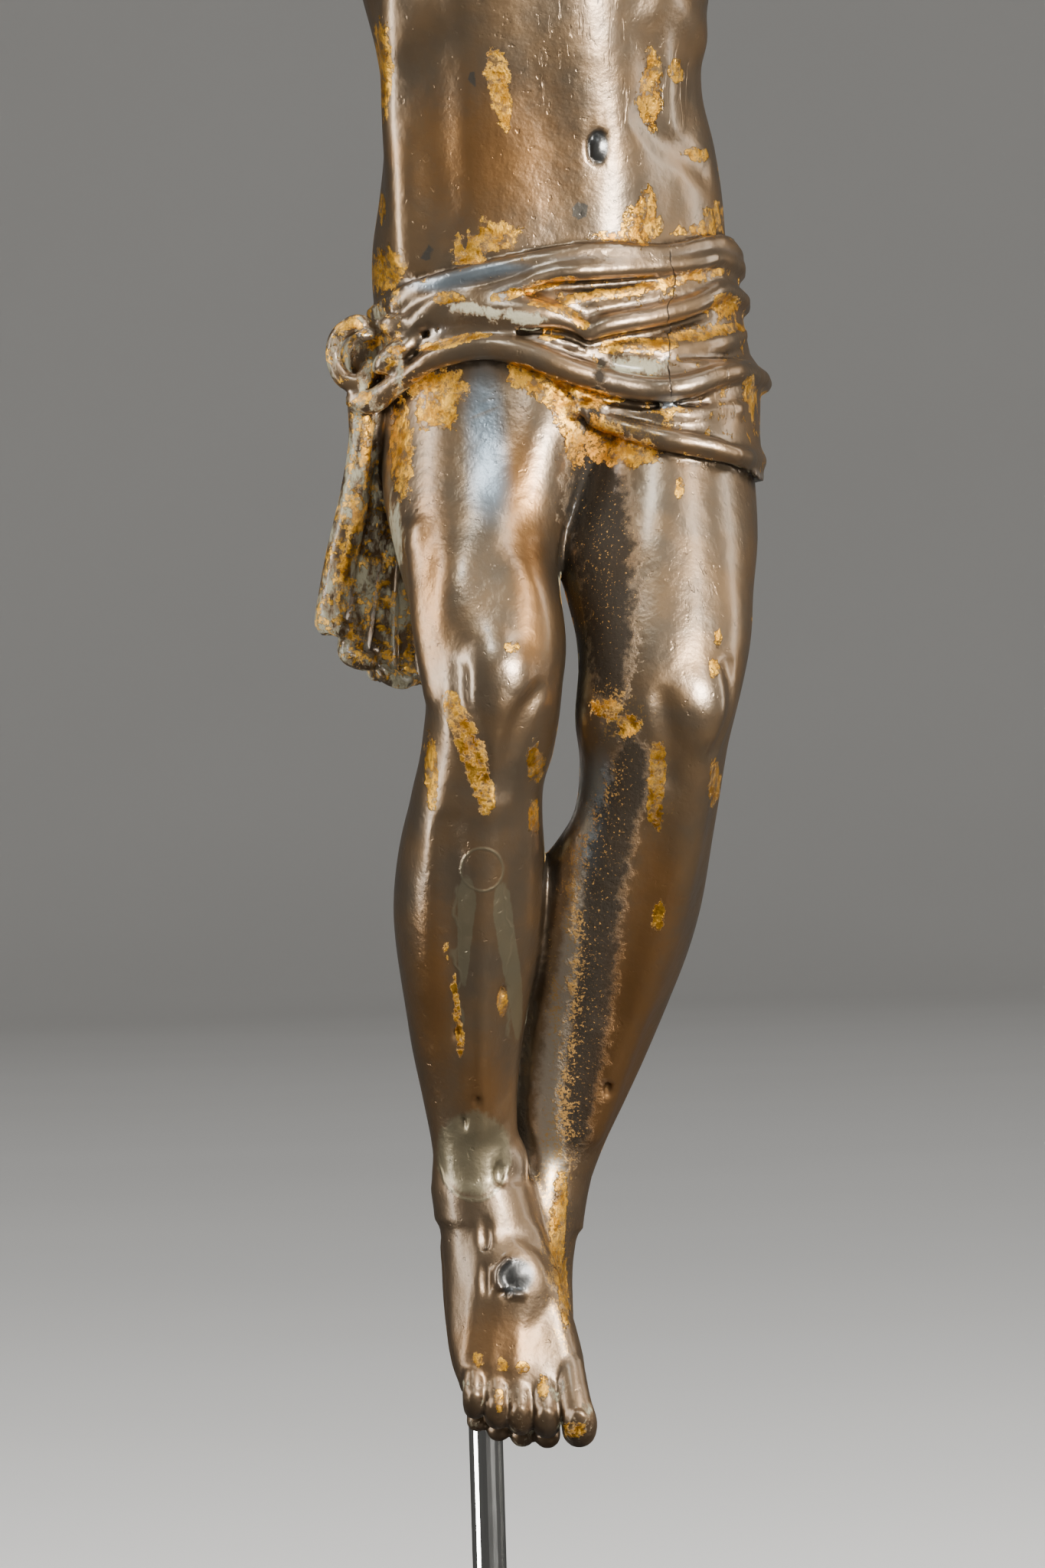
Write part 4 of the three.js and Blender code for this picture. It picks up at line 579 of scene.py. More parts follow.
class Cloth(Shape):
    """The skin moved outwards, between the cloth's upper and lower edge."""

    def __init__(self, skin):
        self.skin = skin
        self.low, self.high = np.array([-15, -48, 134.0]), np.array([49, 2, 178.0])
        self.edges = [table_of(rows) for rows in (front_top, front_bottom, back_top, back_bottom)]

    def measure(self, clay, margin):
        window, (x, y, z) = clay.window(self.low, self.high)
        front_up, front_down, back_up, back_down = (edge(np.clip(x, -12.9, 45.9))[0] for edge in self.edges)
        share = np.clip((y - CLOTH_SIDE_Y + 5) / 10, 0, 1)
        share = share * share * (3 - 2 * share)
        top, bottom = front_up + (back_up - front_up) * share, front_down + (back_down - front_down) * share
        near = self.skin.field[window] - CLOTH_THICKNESS
        return window, np.maximum(near, np.maximum((z - top) * 0.9, (bottom - z) * 0.9))


def laid(skin, rows, level):
    """Rows [x, z, radius] placed on the front of the skin."""
    return [[*skin.touch([x, -60, z], [0, 1, 0], level(r)), r] for x, z, r in rows]


def fold_shape(skin, kind, lift, rows):
    level = lambda r: CLOTH_THICKNESS + lift * r
    line = laid(skin, rows, level)
    if kind == "round":
        first, last = rows[0], rows[-1]
        for i in range(1, 7):
            t = i / 7
            around = math.radians(-20 + 210 * t)
            way = np.array([-math.cos(around), -math.sin(around), 0])
            hub = np.array([16, -20, last[1] + (first[1] - last[1]) * t - 3 * math.sin(math.pi * t)])
            r = last[2] + (first[2] - last[2]) * t
            line.append([*skin.touch(hub - way * 44, way, level(r)), r])
        line.append(line[0])
    return Strand(line, 3)


# %% Knot and hanging end
knot = [
    (Ball([-12.4, -23, 157.8], [4, 4.6, 4.6]), 1.5),
    (Strand([[-11.4, -27.4, 161.8, 1.3], [-13.6, -28.2, 163, 1.4], [-16.4, -28.2, 161.4, 1.2],
             [-17.2, -28, 158.4, 1.1], [-16, -28.2, 155.4, 1.3], [-13.6, -28.6, 154.4, 1.4],
             [-11.8, -28.4, 156.4, 1.4]]), 0.5),
    (Strand([[-11.6, -29.4, 161.4, 0.8], [-13.8, -30, 160.8, 0.8], [-15.2, -29.4, 159.2, 0.7]]), 0.3),
    (Ball([-7.4, -32.4, 162.2], [3.4, 1.7, 1.9], [0, 12, -22]), 0.5),
    (Ball([-5.4, -33.2, 161.4], [1.5, 1.5, 2.2], [0, 10, 0]), 0.5),
    (Ball([-8.3, -33, 158.2], [4, 1.9, 1.8], [0, -36, -16]), 0.4),
    (Strand([[-3.6, -34, 157, 1.2], [-7.6, -32.2, 154.6, 1.5], [-11.4, -30, 151.8, 1.8],
             [-14, -28.4, 152, 1.6]]), 0.5)]
knot_hollows = [
    Ball([-14.3, -30.2, 158.8], [1.9, 1.8, 2.5]),
    Strand([[-4.8, -35.6, 158, 0.5], [-8, -34.2, 156.1, 0.5], [-11, -32.6, 153.4, 0.5]])]
# Each roll of the hanging end: its rows [x, y, z, radius], top first
hanging_end = [
    [[-13.4, -26, 152, 2], [-13.4, -25.4, 146, 2], [-14.8, -24.4, 138, 2.2], [-17, -23.6, 129, 2.4],
     [-18.4, -23, 120.6, 2.7]],
    [[-11.6, -22.6, 148, 1.7], [-11.6, -22, 137, 1.8], [-13.6, -21.6, 126, 2.1], [-15.4, -21.4, 116.6, 2.6]],
    [[-10.4, -25, 150, 1.7], [-9.9, -23.6, 143, 1.8], [-9.4, -21.4, 136, 1.6], [-10.8, -20.4, 124, 1.8],
     [-11.6, -20.6, 113.4, 2.3]],
    [[-9.6, -20, 143, 1.5], [-7.8, -18.6, 131, 1.7], [-8.2, -18, 121, 1.9], [-8.2, -18.4, 112.6, 2.4]],
    [[-8.6, -18, 139, 1.5], [-6.4, -16, 127, 1.8], [-5.2, -15, 119, 2.1], [-4.8, -15, 112.8, 2.4]],
    [[-15.4, -22.6, 126, 0.9], [-16, -23.4, 118, 1], [-14.6, -24.2, 114.6, 1.1]]]
# The hem that links the rolls: rows [x, y, z, radius]
hanging_hem = [[-19.6, -24, 122.4, 1.1], [-17.6, -25, 119.4, 1.2], [-16, -22.6, 118.6, 1.2],
               [-16.6, -24, 115.6, 1.2], [-14, -24.4, 114.4, 1.3], [-12.6, -21.8, 114.6, 1.2],
               [-11, -23.4, 112.6, 1.3], [-8.6, -21.4, 111.6, 1.3], [-6.8, -18.6, 112.6, 1.2],
               [-4.4, -17.6, 112, 1.2], [-3.2, -14.6, 113.4, 1.1]]

# %% [markdown]
# ## Pressing it all together
# The order matters, as it does in wax: large masses first with wide seams, then muscles, then hollows,
# then hair and cloth with tight seams, and last the holes that are drilled after casting.

# %% Carve the figure
def press_along(rows_list, carve=False):
    """Lay strands on the skin as it is now, or carve them into it."""
    for rows, depth, blend in rows_list:
        side = -1 if carve else 1
        clay.press(Strand(laid(clay, rows, lambda r: -side * depth)), blend, side)


def press_all(forms, carve=False):
    """Join or carve a list of forms, each with its seam."""
    for shape, blend in forms:
        clay.press(shape, blend, -1 if carve else 1)


def on_skin(x, z, depth=0.0):
    """The point of the skin seen in front of x and z, moved in by depth."""
    return clay.touch([x, -60, z], [0, 1, 0], 0) + [0, depth, 0]


clay = Clay([-132, -62, -2], [156, 3, 306], GRAIN)
clay.join(torso, 1).join(right_leg, 4).join(left_leg, 1)
press_all(trunk_forms)
press_along(trunk_ridges)
press_along(trunk_creases, carve=True)
press_all(leg_forms)
press_along(leg_ridges)
press_along(leg_creases, carve=True)
clay.join(lower_foot, 2).join(upper_foot, 2.2)
press_along(foot_ridges)
press_all(toe_forms)
clay.join(Ball([4.8, -27.6, 24.6], [4.6, 2.2, 5.4]), 2)
for rows in arm_rows:
    clay.join(Strand(rows), 4)
press_all(arm_forms)
for side in hands:
    press_all(hand(**side))
press_all(trunk_hollows, carve=True)
clay.join(neck, 4)
press_all(head_forms)
press_all(head_hollows, carve=True)
press_all(face_forms + beard + hair)
for phase in (0, math.pi):
    clay.join(crown_strand(phase), 0.6)
skin = clay.copy()
clay.join(Cloth(skin), 0.5)
for kind, lift, rows in folds:
    clay.join(fold_shape(skin, kind, lift, rows), 1.2)
for rows in undercuts:
    clay.carve(Strand(laid(skin, rows, lambda r: CLOTH_THICKNESS + 0.3)), 0.6)
for rows in hanging_end:
    clay.join(Strand(rows), 0.6)
for rows in hanging_end:
    (x, y, z, r), above = rows[-1], rows[-2]
    upper_end = [x + (above[0] - x) * 0.3, y, z + 2, r * 0.2]
    lower_end = [x, y - 0.3, z - r - 1, r * 0.62]
    clay.carve(Strand([upper_end, lower_end]), 0.5)
clay.join(Strand(hanging_hem), 0.6)
press_all(knot)
for shape in knot_hollows:
    clay.carve(shape, 0.4)
print("grid", clay.count, "grain", GRAIN, "mm")

# %% Holes, plugs and pits
NAIL_HOLE, PALM_HOLE, SOCKET = 4.6, 2.6, 5.6
nail = on_skin(5.1, 25.6)
clay.carve(Strand([[*(nail - [0, 8, 0]), NAIL_HOLE / 2], [*(nail + [0, -1.2, 0]), NAIL_HOLE / 2]]), 0.3)
clay.join(Strand([[*(nail + [a, -0.25, b]), 0.45] for a, b in
                  ((-1, 2.6), (-2.5, 1), (-2.6, -0.9), (-1.2, -2.5), (0.8, -2.7))]), 0.7)
clay.join(Ball(nail + [0.1, 1.9, 0.1], [2.5, 2, 2.4]), 0.25)
clay.carve(Ball(nail + [-1.6, -0.4, -2.4], [0.9, 0.9, 0.7]), 0.3)
navel = on_skin(21.6, 186.8)
clay.carve(Ball(navel, [1.5, 1.2, 2.5], [0, 8, 0]), 0.3)
clay.join(Ball(navel + [0.1, 0.9, 0.1], [1.2, 0.9, 2], [0, 8, 0]), 0.2)
# Pits in the casting: x, z, half width, half height
pits = [[0.9, 31.9, 1, 2.6], [0.7, 25.4, 0.9, 3], [3.4, 40.3, 1, 1.8], [-2.2, 60.4, 0.5, 1.4],
        [0.4, 50.6, 0.6, 1], [-1.8, 47.8, 0.4, 1.2], [4.4, 66, 0.5, 1.6], [19.2, 51.4, 0.7, 1.8]]
for x, z, wide, tall in pits:
    clay.carve(Ball(on_skin(x, z, -0.15), [wide, 0.75, tall]), 0.35)
for side in hands:
    centre = np.array(side["wrist"]) + PALM_REACH * np.array(side["way"])
    ends = [[*(centre + [0, y, 0]), PALM_HOLE / 2] for y in (-12, 12)]
    clay.carve(Strand(ends), 0.3)
clay.carve(Strand([[0, -11.5, 160, SOCKET / 2], [0, 3, 160, SOCKET / 2]]), 0.3)

# %% From clay to mesh
FIGURE_AT = np.array([-14, 16, 46.0])  # the figure's frame in the part's frame
MOST_FACES = 190000
points, faces = surface_of(clay)
print("net", len(points), "points", len(faces), "faces")
mesh = bpy.data.meshes.new("corpus_carved")
mesh.from_pydata((points + FIGURE_AT) * MM, [], faces)
mesh.update()
corpus = bpy.data.objects.new("corpus_carved", mesh)
bpy.context.scene.collection.objects.link(corpus)
if 2 * len(faces) > MOST_FACES:
    thin = corpus.modifiers.new("fewer faces", "DECIMATE")
    thin.ratio = MOST_FACES / (2 * len(faces))
    bpy.context.view_layer.objects.active = corpus
    corpus.select_set(True)
    bpy.ops.object.modifier_apply(modifier=thin.name)
mesh = corpus.data
mesh.shade_smooth()
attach(corpus, "root")
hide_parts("corpus")
print("figure", len(mesh.vertices), "points", len(mesh.polygons), "faces")

# %% [markdown]
# ## Where the colours lie
# Wear and dirt follow the form: gilding stays where no hand or cloth rubs, dirt settles in hollows, and
# ridges are polished bright. Hollows and shut-in places are also darkened as painted shade. So the grid of
# distances is asked how hollow, how proud and how shut in each point of the mesh is. The patches that chance
# has left are ovals on the front, in real sizes.

# %% Patches seen on the front
# Each patch is a row [x, z, half width, half height], or some rows that it sweeps through
patches = {
    "gold": [
        [[-9, 199.3, 1.4, 6]], [[7.2, 199.4, 1.7, 1.8], [8.2, 194, 1.3, 2.6], [8.8, 190.6, 0.7, 1.4]],
        [[30, 199, 1, 2.4], [29.4, 193.4, 1.7, 4.4]], [[33.2, 198, 1.2, 1.6]], [[36.2, 186, 2, 1]],
        [[28.8, 180, 1, 1.6], [27.6, 175.6, 2.6, 2.6]], [[38, 177, 1.8, 2.2]], [[5.8, 174.4, 4.4, 1.9]],
        [[2.4, 171.4, 3, 0.7]], [[24, 174, 4, 0.7]], [[35, 175, 4, 0.7]], [[-9.1, 170.6, 2.4, 3.2]],
        [[-0.4, 165.9, 2.2, 1]], [[6.7, 165.6, 1.4, 0.6], [11, 166.8, 1.4, 0.7], [17, 168, 1.4, 0.5]],
        [[17, 165.2, 2.2, 0.6], [24, 166, 2.6, 0.7], [31, 167.4, 2.6, 0.6], [37.6, 169, 2, 0.5]],
        [[39.5, 164.2, 2, 1.6]], [[24, 158.2, 3, 1.2], [29, 158.4, 3, 1]],
        [[34, 159.6, 3, 0.7], [41, 161, 2, 0.6]],
        [[12, 164.8, 1, 0.5], [16, 163.6, 1.2, 0.6], [19, 161.4, 0.8, 0.6]], [[13.8, 159.8, 2.2, 0.4]],
        [[9, 155.9, 1.4, 0.4], [15, 153, 2, 0.5], [22, 150.8, 2, 0.5]], [[19.8, 150.4, 2.6, 0.9]],
        [[31, 148.8, 3, 0.5]], [[42.6, 151, 1, 2.6]], [[-3, 159, 2.4, 0.5], [3, 160.4, 2.4, 0.4]],
        [[-14.6, 162.8, 2, 0.8]], [[-7.8, 158.8, 1.4, 0.7]], [[-10.4, 155.6, 0.9, 0.6]],
        [[-12.8, 152.4, 1.2, 0.8]], [[-9.5, 179.7, 0.6, 2.2]], [[-2.1, 152.9, 3.8, 3]],
        [[-4.6, 149.4, 1, 2], [-0.6, 149, 1, 2]], [[-7.7, 144.6, 1.6, 7]],
        [[9.2, 154.2, 1.8, 1], [14.6, 151, 1.9, 2], [17.2, 144.4, 1.3, 3]],
        [[19.8, 145.6, 1, 3.4], [25.4, 142.6, 3.8, 1.8]], [[31.8, 137.8, 0.8, 1.6]],
        [[-12.6, 148, 0.9, 1.8], [-13, 143, 0.8, 2]], [[-14.4, 136, 1.1, 3.4]], [[-16.4, 128, 1, 2.2]],
        [[7.3, 115.6, 1, 0.9]], [[36.6, 116.2, 0.6, 1.5]], [[35.9, 111.9, 0.8, 1.5]],
        [[-1.6, 108, 1.2, 1.6], [1.2, 100.6, 1.6, 2.4], [3, 94, 1.2, 2]], [[10, 99.3, 1.3, 2.4]],
        [[9.6, 91.3, 0.8, 2.6]], [[-4.7, 98.7, 1, 5]], [[-3.3, 73.6, 0.6, 1.3]],
        [[-2.4, 68, 0.4, 1.4], [-1.8, 59, 0.6, 2.4]], [[4.4, 64.9, 0.7, 2.8]], [[20.4, 106.4, 2.2, 1.6]],
        [[23.4, 104.2, 1.8, 1.6]], [[27.6, 99, 1.1, 3], [27, 92, 1.1, 3.4]], [[27.1, 76.8, 0.9, 2.4]],
        [[35.6, 95.5, 0.9, 3.2]], [[12, 37, 0.9, 3], [11.2, 31, 1, 3], [12, 22, 0.7, 4]],
        [[-0.7, 13.7, 0.8, 1]], [[2.8, 12.9, 0.9, 0.9]], [[5.8, 12.5, 1.1, 0.8]],
        [[12.8, 3.4, 1.8, 1.2]], [[8.6, 9.6, 0.8, 1.6]], [[2.2, 8, 0.7, 1.6]]],
    "copper_and_shade": [
        [[-5.4, 66, 2.4, 12]], [[6, 186, 10, 9]], [[27, 80, 3, 8], [22, 62, 3, 9], [17.6, 48, 2, 5]],
        [[-4, 126, 2, 12]], [[2.4, 16, 5, 4]], [[1, 52, 3, 6]],
        # This last patch, on the right thigh, is painted shade that dims its highlight; the others are
        # copper tone
        [[9, 140, 2.4, 8], [10, 128, 2, 7], [10, 117, 1.6, 4]]],
    # Inside the left thigh, at the crotch and on the left calf, where the right leg shades them: partly dark
    # patina, partly painted shadow
    "dark_patina_and_shade": [
        [[19.6, 141, 3, 5], [20, 136, 4, 6], [20.8, 124, 4, 9], [21, 112, 2.4, 5]],
        [[21.4, 156, 0.8, 0.8], [19.6, 146.6, 1, 2]],
        [[24, 98, 2, 5], [19.4, 83, 2.8, 8], [17.4, 67, 2.8, 8], [14.4, 50, 2.2, 7]]],
    "speckle": [
        [[20.6, 128, 5, 14]], [[23, 98, 2, 5], [18, 83, 3.4, 9], [16.4, 67, 3.4, 9], [13.4, 46, 3, 8]]],
    "dust": [
        [[21.4, 96, 0.8, 3], [15.2, 83, 1.4, 5], [15, 70, 1.8, 5], [14, 58, 1.6, 4], [12, 46, 2.6, 5],
         [10.8, 34, 2.4, 6], [11.6, 20, 1.6, 6]],
        [[21.6, 106, 4, 4]], [[27.6, 96, 1.6, 5]], [[25, 146, 5, 3]], [[17, 146, 3, 5]],
        [[12, 64, 1.2, 10]]],
    "residue": [
        [[-10.4, 164.4, 1.4, 1.2]], [[2, 164.6, 2, 0.6], [11, 162.4, 4, 0.7]], [[-8.8, 132, 1, 6]],
        [[-9.4, 120, 1.6, 4]], [[-13.2, 153.6, 1.2, 1.4], [-14.2, 148.6, 0.8, 3]],
        [[-11.6, 158, 0.9, 2.4]], [[26, 155.6, 4, 1.4]]],
    "worn": [
        [[17.4, 90, 1.6, 3], [14.8, 74, 1.3, 5], [12.4, 60, 1.8, 6], [10.8, 48, 2.2, 6],
         [11.4, 40, 1.4, 3]]],
    # Painted highlights: bluish reflections of a cool light laid into the colour
    "painted_blue_highlight": [
        [[4.2, 149.4, 2.4, 6], [4.8, 139, 2.6, 5]], [[19, 96, 2, 4], [17.4, 87, 1.6, 4]],
        [[-2, 168, 4, 1], [7, 169.8, 4, 0.8]], [[31, 150, 2, 1]]],
    "pale": [
        [[-0.4, 43.4, 4.8, 5.4]], [[-0.2, 80, 1.2, 3], [-1, 72, 0.7, 4]],
        [[4.8, 78, 1.2, 4], [6.4, 66, 0.8, 6]]],
    "spot": [
        [[21.8, 180, 1.1, 0.8]], [[19, 177.8, 0.8, 1.3]], [[-3.5, 172.6, 1.2, 1]], [[4.2, 197, 0.7, 1]]],
    "scratch": [
        [[22, 203.8, 4.4, 4.4]], [[26, 195, 1.4, 4]], [[33, 195.5, 1.6, 4.4]], [[40, 152, 2.4, 3]],
        [[34, 124, 2, 5]], [[16, 199, 3, 5]]]}


def swept(points, rows):
    """1 in the middle of a patch, half on its edge, and 0 as far again outside it."""
    rows = smooth_rows(rows, 4) if len(rows) > 1 else np.array(rows, float)
    nearest = np.full(len(points), 9.0)
    for x, z, wide, tall in rows:
        nearest = np.minimum(nearest, np.hypot((points[:, 0] - x) / wide, (points[:, 2] - z) / tall))
    return np.clip(1 - nearest / 2, 0, 1)


# %% Masks at the mesh's points
at = np.empty(3 * len(mesh.vertices))
mesh.vertices.foreach_get("co", at)
at = at.reshape(-1, 3) / MM - FIGURE_AT
out = clay.slope(at)
front = np.clip(-out[:, 1] * 3 + 0.6, 0, 1)
masks = {name: front * np.max([swept(at, rows) for rows in group], axis=0)
         for name, group in patches.items()}

# How hollow, how proud and how shut in each point is; the hollow and shut-in ones are darkened later as
# painted shade
hollow = np.mean([np.clip(1 - clay.at(at + out * reach) / reach, 0, 1) for reach in (0.7, 1.3, 2)], axis=0)
proud = np.mean([np.clip(1 + clay.at(at - out * reach) / reach, 0, 1) for reach in (0.8, 1.6)], axis=0)
HALVED = 2  # every second grid point is enough for what is shut in
REACH = 5.0  # how far round each point is looked, in mm
LOOK_OUT = 3.5  # how far off the surface it is looked from, in mm
shut = (clay.field[::HALVED, ::HALVED, ::HALVED] < 0).astype(np.float32)
wide = max(1, round(REACH / (HALVED * clay.grain)))
for axis in range(3):
    margins = [(wide + 1, wide) if a == axis else (0, 0) for a in range(3)]
    total = np.cumsum(np.pad(shut, margins, mode="edge"), axis)
    upper = [slice(2 * wide + 1, None) if a == axis else slice(None) for a in range(3)]
    lower = [slice(None, -2 * wide - 1) if a == axis else slice(None) for a in range(3)]
    shut = (total[tuple(upper)] - total[tuple(lower)]) / (2 * wide + 1)
cells = ((at + out * LOOK_OUT - clay.low) / (HALVED * clay.grain)).round().astype(int)
cells = np.clip(cells, 0, np.array(shut.shape) - 1)
shut_in = np.clip((shut[tuple(cells.T)] - 0.3) / 0.35, 0, 1)

CLOTH_ENDS = (110, 178)  # height of the hanging end's hem and of the cloth's upper edge, in mm
KNOT_HEIGHT = 150  # the knot lies above this, the hanging end below
TAIL_X, KNOT_X = -3, -7  # the hanging end and the knot lie to the right hand's side of these
GOLD_ON_CLOTH, GOLD_ON_TAIL, GOLD_ON_KNOT = 0.32, 0.46, 0.43
CHALK_ON_TAIL, CHALK_ON_KNOT, CHALK_ON_TOES = 0.58, 0.5, 0.36
TOE_HEIGHT = 11  # below this the toes are dusty
PICTURE_TOP = 212  # above this the photograph shows nothing
over = skin.at(at)
in_cloth = (over > 0.5) & (at[:, 2] > CLOTH_ENDS[0]) & (at[:, 2] < CLOTH_ENDS[1])
flat = in_cloth * np.clip((CLOTH_THICKNESS + 1.3 - over) / 0.7, 0, 1)
x, y, z = at.T
chance = np.sin(x * 0.31 + 1.3 * np.sin(z * 0.13)) * np.sin(z * 0.23 + 1.7 * np.sin(x * 0.17 + y * 0.2))
unseen = np.where((out[:, 1] > -0.15) | (z > PICTURE_TOP), 1.0, 0.0)
gold = np.maximum(masks["gold"], flat * (GOLD_ON_CLOTH + 0.06 * np.clip(x / 20, -1, 1)))
tail = in_cloth & (x < TAIL_X) & (z < KNOT_HEIGHT)
knotted = in_cloth & (x < KNOT_X) & (z >= KNOT_HEIGHT)
gold = np.maximum(gold, np.where(tail, GOLD_ON_TAIL, knotted * GOLD_ON_KNOT))
hollow, shut_in = [np.where(tail | knotted, part * 0.4, part) for part in (hollow, shut_in)]
gold = np.maximum(gold, unseen * np.clip(0.22 + 0.3 * chance + 0.25 * hollow, 0, 0.6))
masks.update(hollow=hollow, proud=proud, shut_in=shut_in, front=front, gold=gold)
masks["plug"] = np.maximum(swept(at, [[5.1, 25.6, 2.5, 2.5]]), swept(at, [[21.7, 186.9, 1.4, 2.3]])) * front
masks["residue"] = np.max([
    masks["residue"], tail * CHALK_ON_TAIL, knotted * CHALK_ON_KNOT, (z < TOE_HEIGHT) * CHALK_ON_TOES,
    unseen * (shut_in * 0.45 + hollow * 0.3)], axis=0)
for name, values in masks.items():
    kept = mesh.attributes.new(name, "FLOAT", "POINT")
    kept.data.foreach_set("value", np.asarray(values, np.float32))
print({name: round(float(np.mean(values)), 3) for name, values in masks.items()})

# %% [markdown]
# ## Materials
# Shader maths reads best as ordinary sums. A small class wraps a socket, so that 1 - mask or a * b adds
# the Math node by itself, and one method adds every other kind of node.


# %% A small language for shaders
class Value:
    """A number that varies over the surface, used in sums like any other."""

    def __init__(self, recipe, socket):
        self.recipe, self.socket = recipe, socket

    def math(self, operation, *others, clamp=False):
        inputs = {i: value for i, value in enumerate((self, *others))}
        return self.recipe.node("ShaderNodeMath", dict(operation=operation, use_clamp=clamp), inputs)

    def __add__(self, other):
        return self.math("ADD", other)

    __radd__ = __add__

    def __sub__(self, other):
        return self.math("SUBTRACT", other)

    def __rsub__(self, other):
        return self.math("MULTIPLY_ADD", -1.0, other)

    def __mul__(self, other):
        return self.math("MULTIPLY", other)

    __rmul__ = __mul__

    def __truediv__(self, other):
        return self.math("DIVIDE", other)

    def __pow__(self, other):
        return self.math("POWER", other)

    def __abs__(self):
        return self.math("ABSOLUTE")

    def clamped(self):
        return self.math("ADD", 0.0, clamp=True)

    def larger(self, other):
        return self.math("MAXIMUM", other)

    def between(self, low, high):
        """0 below low, 1 above high, and a soft step from one to the other."""
        return self.recipe.node("ShaderNodeMapRange", dict(interpolation_type="SMOOTHSTEP", clamp=True),
                                {0: self, 1: low, 2: high, 3: 0.0, 4: 1.0})


class Recipe:
    """One material, built node by node."""

    def __init__(self, name):
        self.material = bpy.data.materials.new(name)
        self.material.use_nodes = True
        self.tree = self.material.node_tree
        self.shader = self.tree.nodes["Principled BSDF"]

    def node(self, kind, settings=None, sockets=None, output=0):
        made = self.tree.nodes.new(kind)
        for name, value in (settings or {}).items():
            setattr(made, name, value)
        for name, value in (sockets or {}).items():
            self.put(made.inputs[name], value)
        return Value(self, made.outputs[output])

    def put(self, socket, value):
        if isinstance(value, Value):
            self.tree.links.new(value.socket, socket)
        elif isinstance(value, (tuple, list)) and len(value) == 3 and socket.type == "RGBA":
            socket.default_value = (*value, 1)
        else:
            socket.default_value = value

    def finish(self, **sockets):
        for name, value in sockets.items():
            self.put(self.shader.inputs[name.replace("_", " ")], value)
        return self.material

    def mask(self, name):
        """A number stored at the mesh's points."""
        return self.node("ShaderNodeAttribute", dict(attribute_name=name), output="Fac")

    def place(self):
        return self.node("ShaderNodeTexCoord", output="Object")

    def along(self):
        """The place in millimetres of the figure's own frame, as three numbers."""
        parts = [self.node("ShaderNodeSeparateXYZ", None, {0: self.place()}, output=i) for i in range(3)]
        return [part * (1 / MM) - float(start) for part, start in zip(parts, FIGURE_AT)]

    def noise(self, size_mm, detail=2.0, roughness=0.5, stretch=(1, 1, 1)):
        """Noise whose features are about size_mm across."""
        place = self.node("ShaderNodeVectorMath", dict(operation="MULTIPLY"),
                          {0: self.place(), 1: [s / (size_mm * MM) for s in stretch]})
        return self.node("ShaderNodeTexNoise", dict(noise_dimensions="3D"),
                         {"Vector": place, "Scale": 1.0, "Detail": detail, "Roughness": roughness})

    def mix(self, share, first, second):
        """Colours: first where share is 0, second where it is 1."""
        return self.node("ShaderNodeMix", dict(data_type="RGBA"), {0: share, 6: first, 7: second}, output=2)

    def bump(self, height, distance_mm, strength=1.0, below=None):
        sockets = {"Height": height, "Distance": distance_mm * MM, "Strength": strength}
        if below is not None:
            sockets["Normal"] = below
        return self.node("ShaderNodeBump", None, sockets)


# %% [markdown]
# ## Bronze and gilding
# Warm metal lies under a thin clear coat of old lacquer, with leaf, dirt, chalky residue and dark patina
# over it. Painted shade darkens the hollows, the shut-in places, the inner side of the left leg and a patch
# on the right thigh, and a few bluish patches are painted highlights. Each is a mask from the mesh whose
# edge is torn by noise. A picture painted on the surface is another way, but it would have to be unwrapped,
# and couldn't be written down as sizes.

# %% Bronze
bronze = Recipe("gilt_bronze")
seen = {name: bronze.mask(name) for name in masks}
px, _, pz = bronze.along()
grain_fine, grain_small, grain_wide = bronze.noise(0.5, 4, 0.6), bronze.noise(2, 7, 0.72), bronze.noise(7, 3)


def ragged(name, low=0.47, high=0.52, rough=1.25, noise=grain_small):
    """A patch with a torn edge."""
    return (seen[name] + (noise - 0.5) * rough).between(low, high)


def ring(x, z, wide, tall, line):
    """A thin oval line on the front, all in millimetres of the figure's frame."""
    wobble = (bronze.noise(3, 2) - 0.5) * 0.16
    away = (((px - x) / wide) ** 2 + ((pz - z) / tall) ** 2) ** 0.5 + wobble
    return (1 - abs(away - 1) * (wide / line)).clamped() * seen["front"]


def crack(x, lean, low, high, line):
    """A thin upright line that wanders, from low to high."""
    wander = (bronze.noise(6, 3) - 0.5) * 5
    near = (1 - abs(px - x - (pz - low) * lean - wander) / line).clamped()
    return near * pz.between(low - 0.5, low + 0.5) * (1 - pz.between(high - 0.5, high + 0.5)) * seen["front"]


lower_part = 1 - pz.between(41, 46)
repair_line = ring(2.1, 84.2, 3, 3, 0.3).larger(ring(-0.4, 43.6, 5.2, 7, 0.35) * lower_part)
repair_line = repair_line.larger(crack(-1.6, -0.02, 62, 82, 0.35)).larger(crack(5.4, 0.02, 60, 82, 0.3))
split = crack(30.6, 0.05, 151, 172, 0.16)
feet = 1 - pz.between(25, 75)
rubbed = (seen["proud"] * 1.1 + (grain_wide - 0.5) * 0.9).between(0.35, 0.95)
rubbed = (1 - 0.6 * feet) * rubbed * (1 - seen["hollow"])
# Dark brown in hollows and shut-in places: partly dirt, partly painted shade
dirt_and_shade = (seen["hollow"] * 1.1 + seen["shut_in"] * 0.45 + (grain_small - 0.5) * 0.5).between(0.3, 0.75)
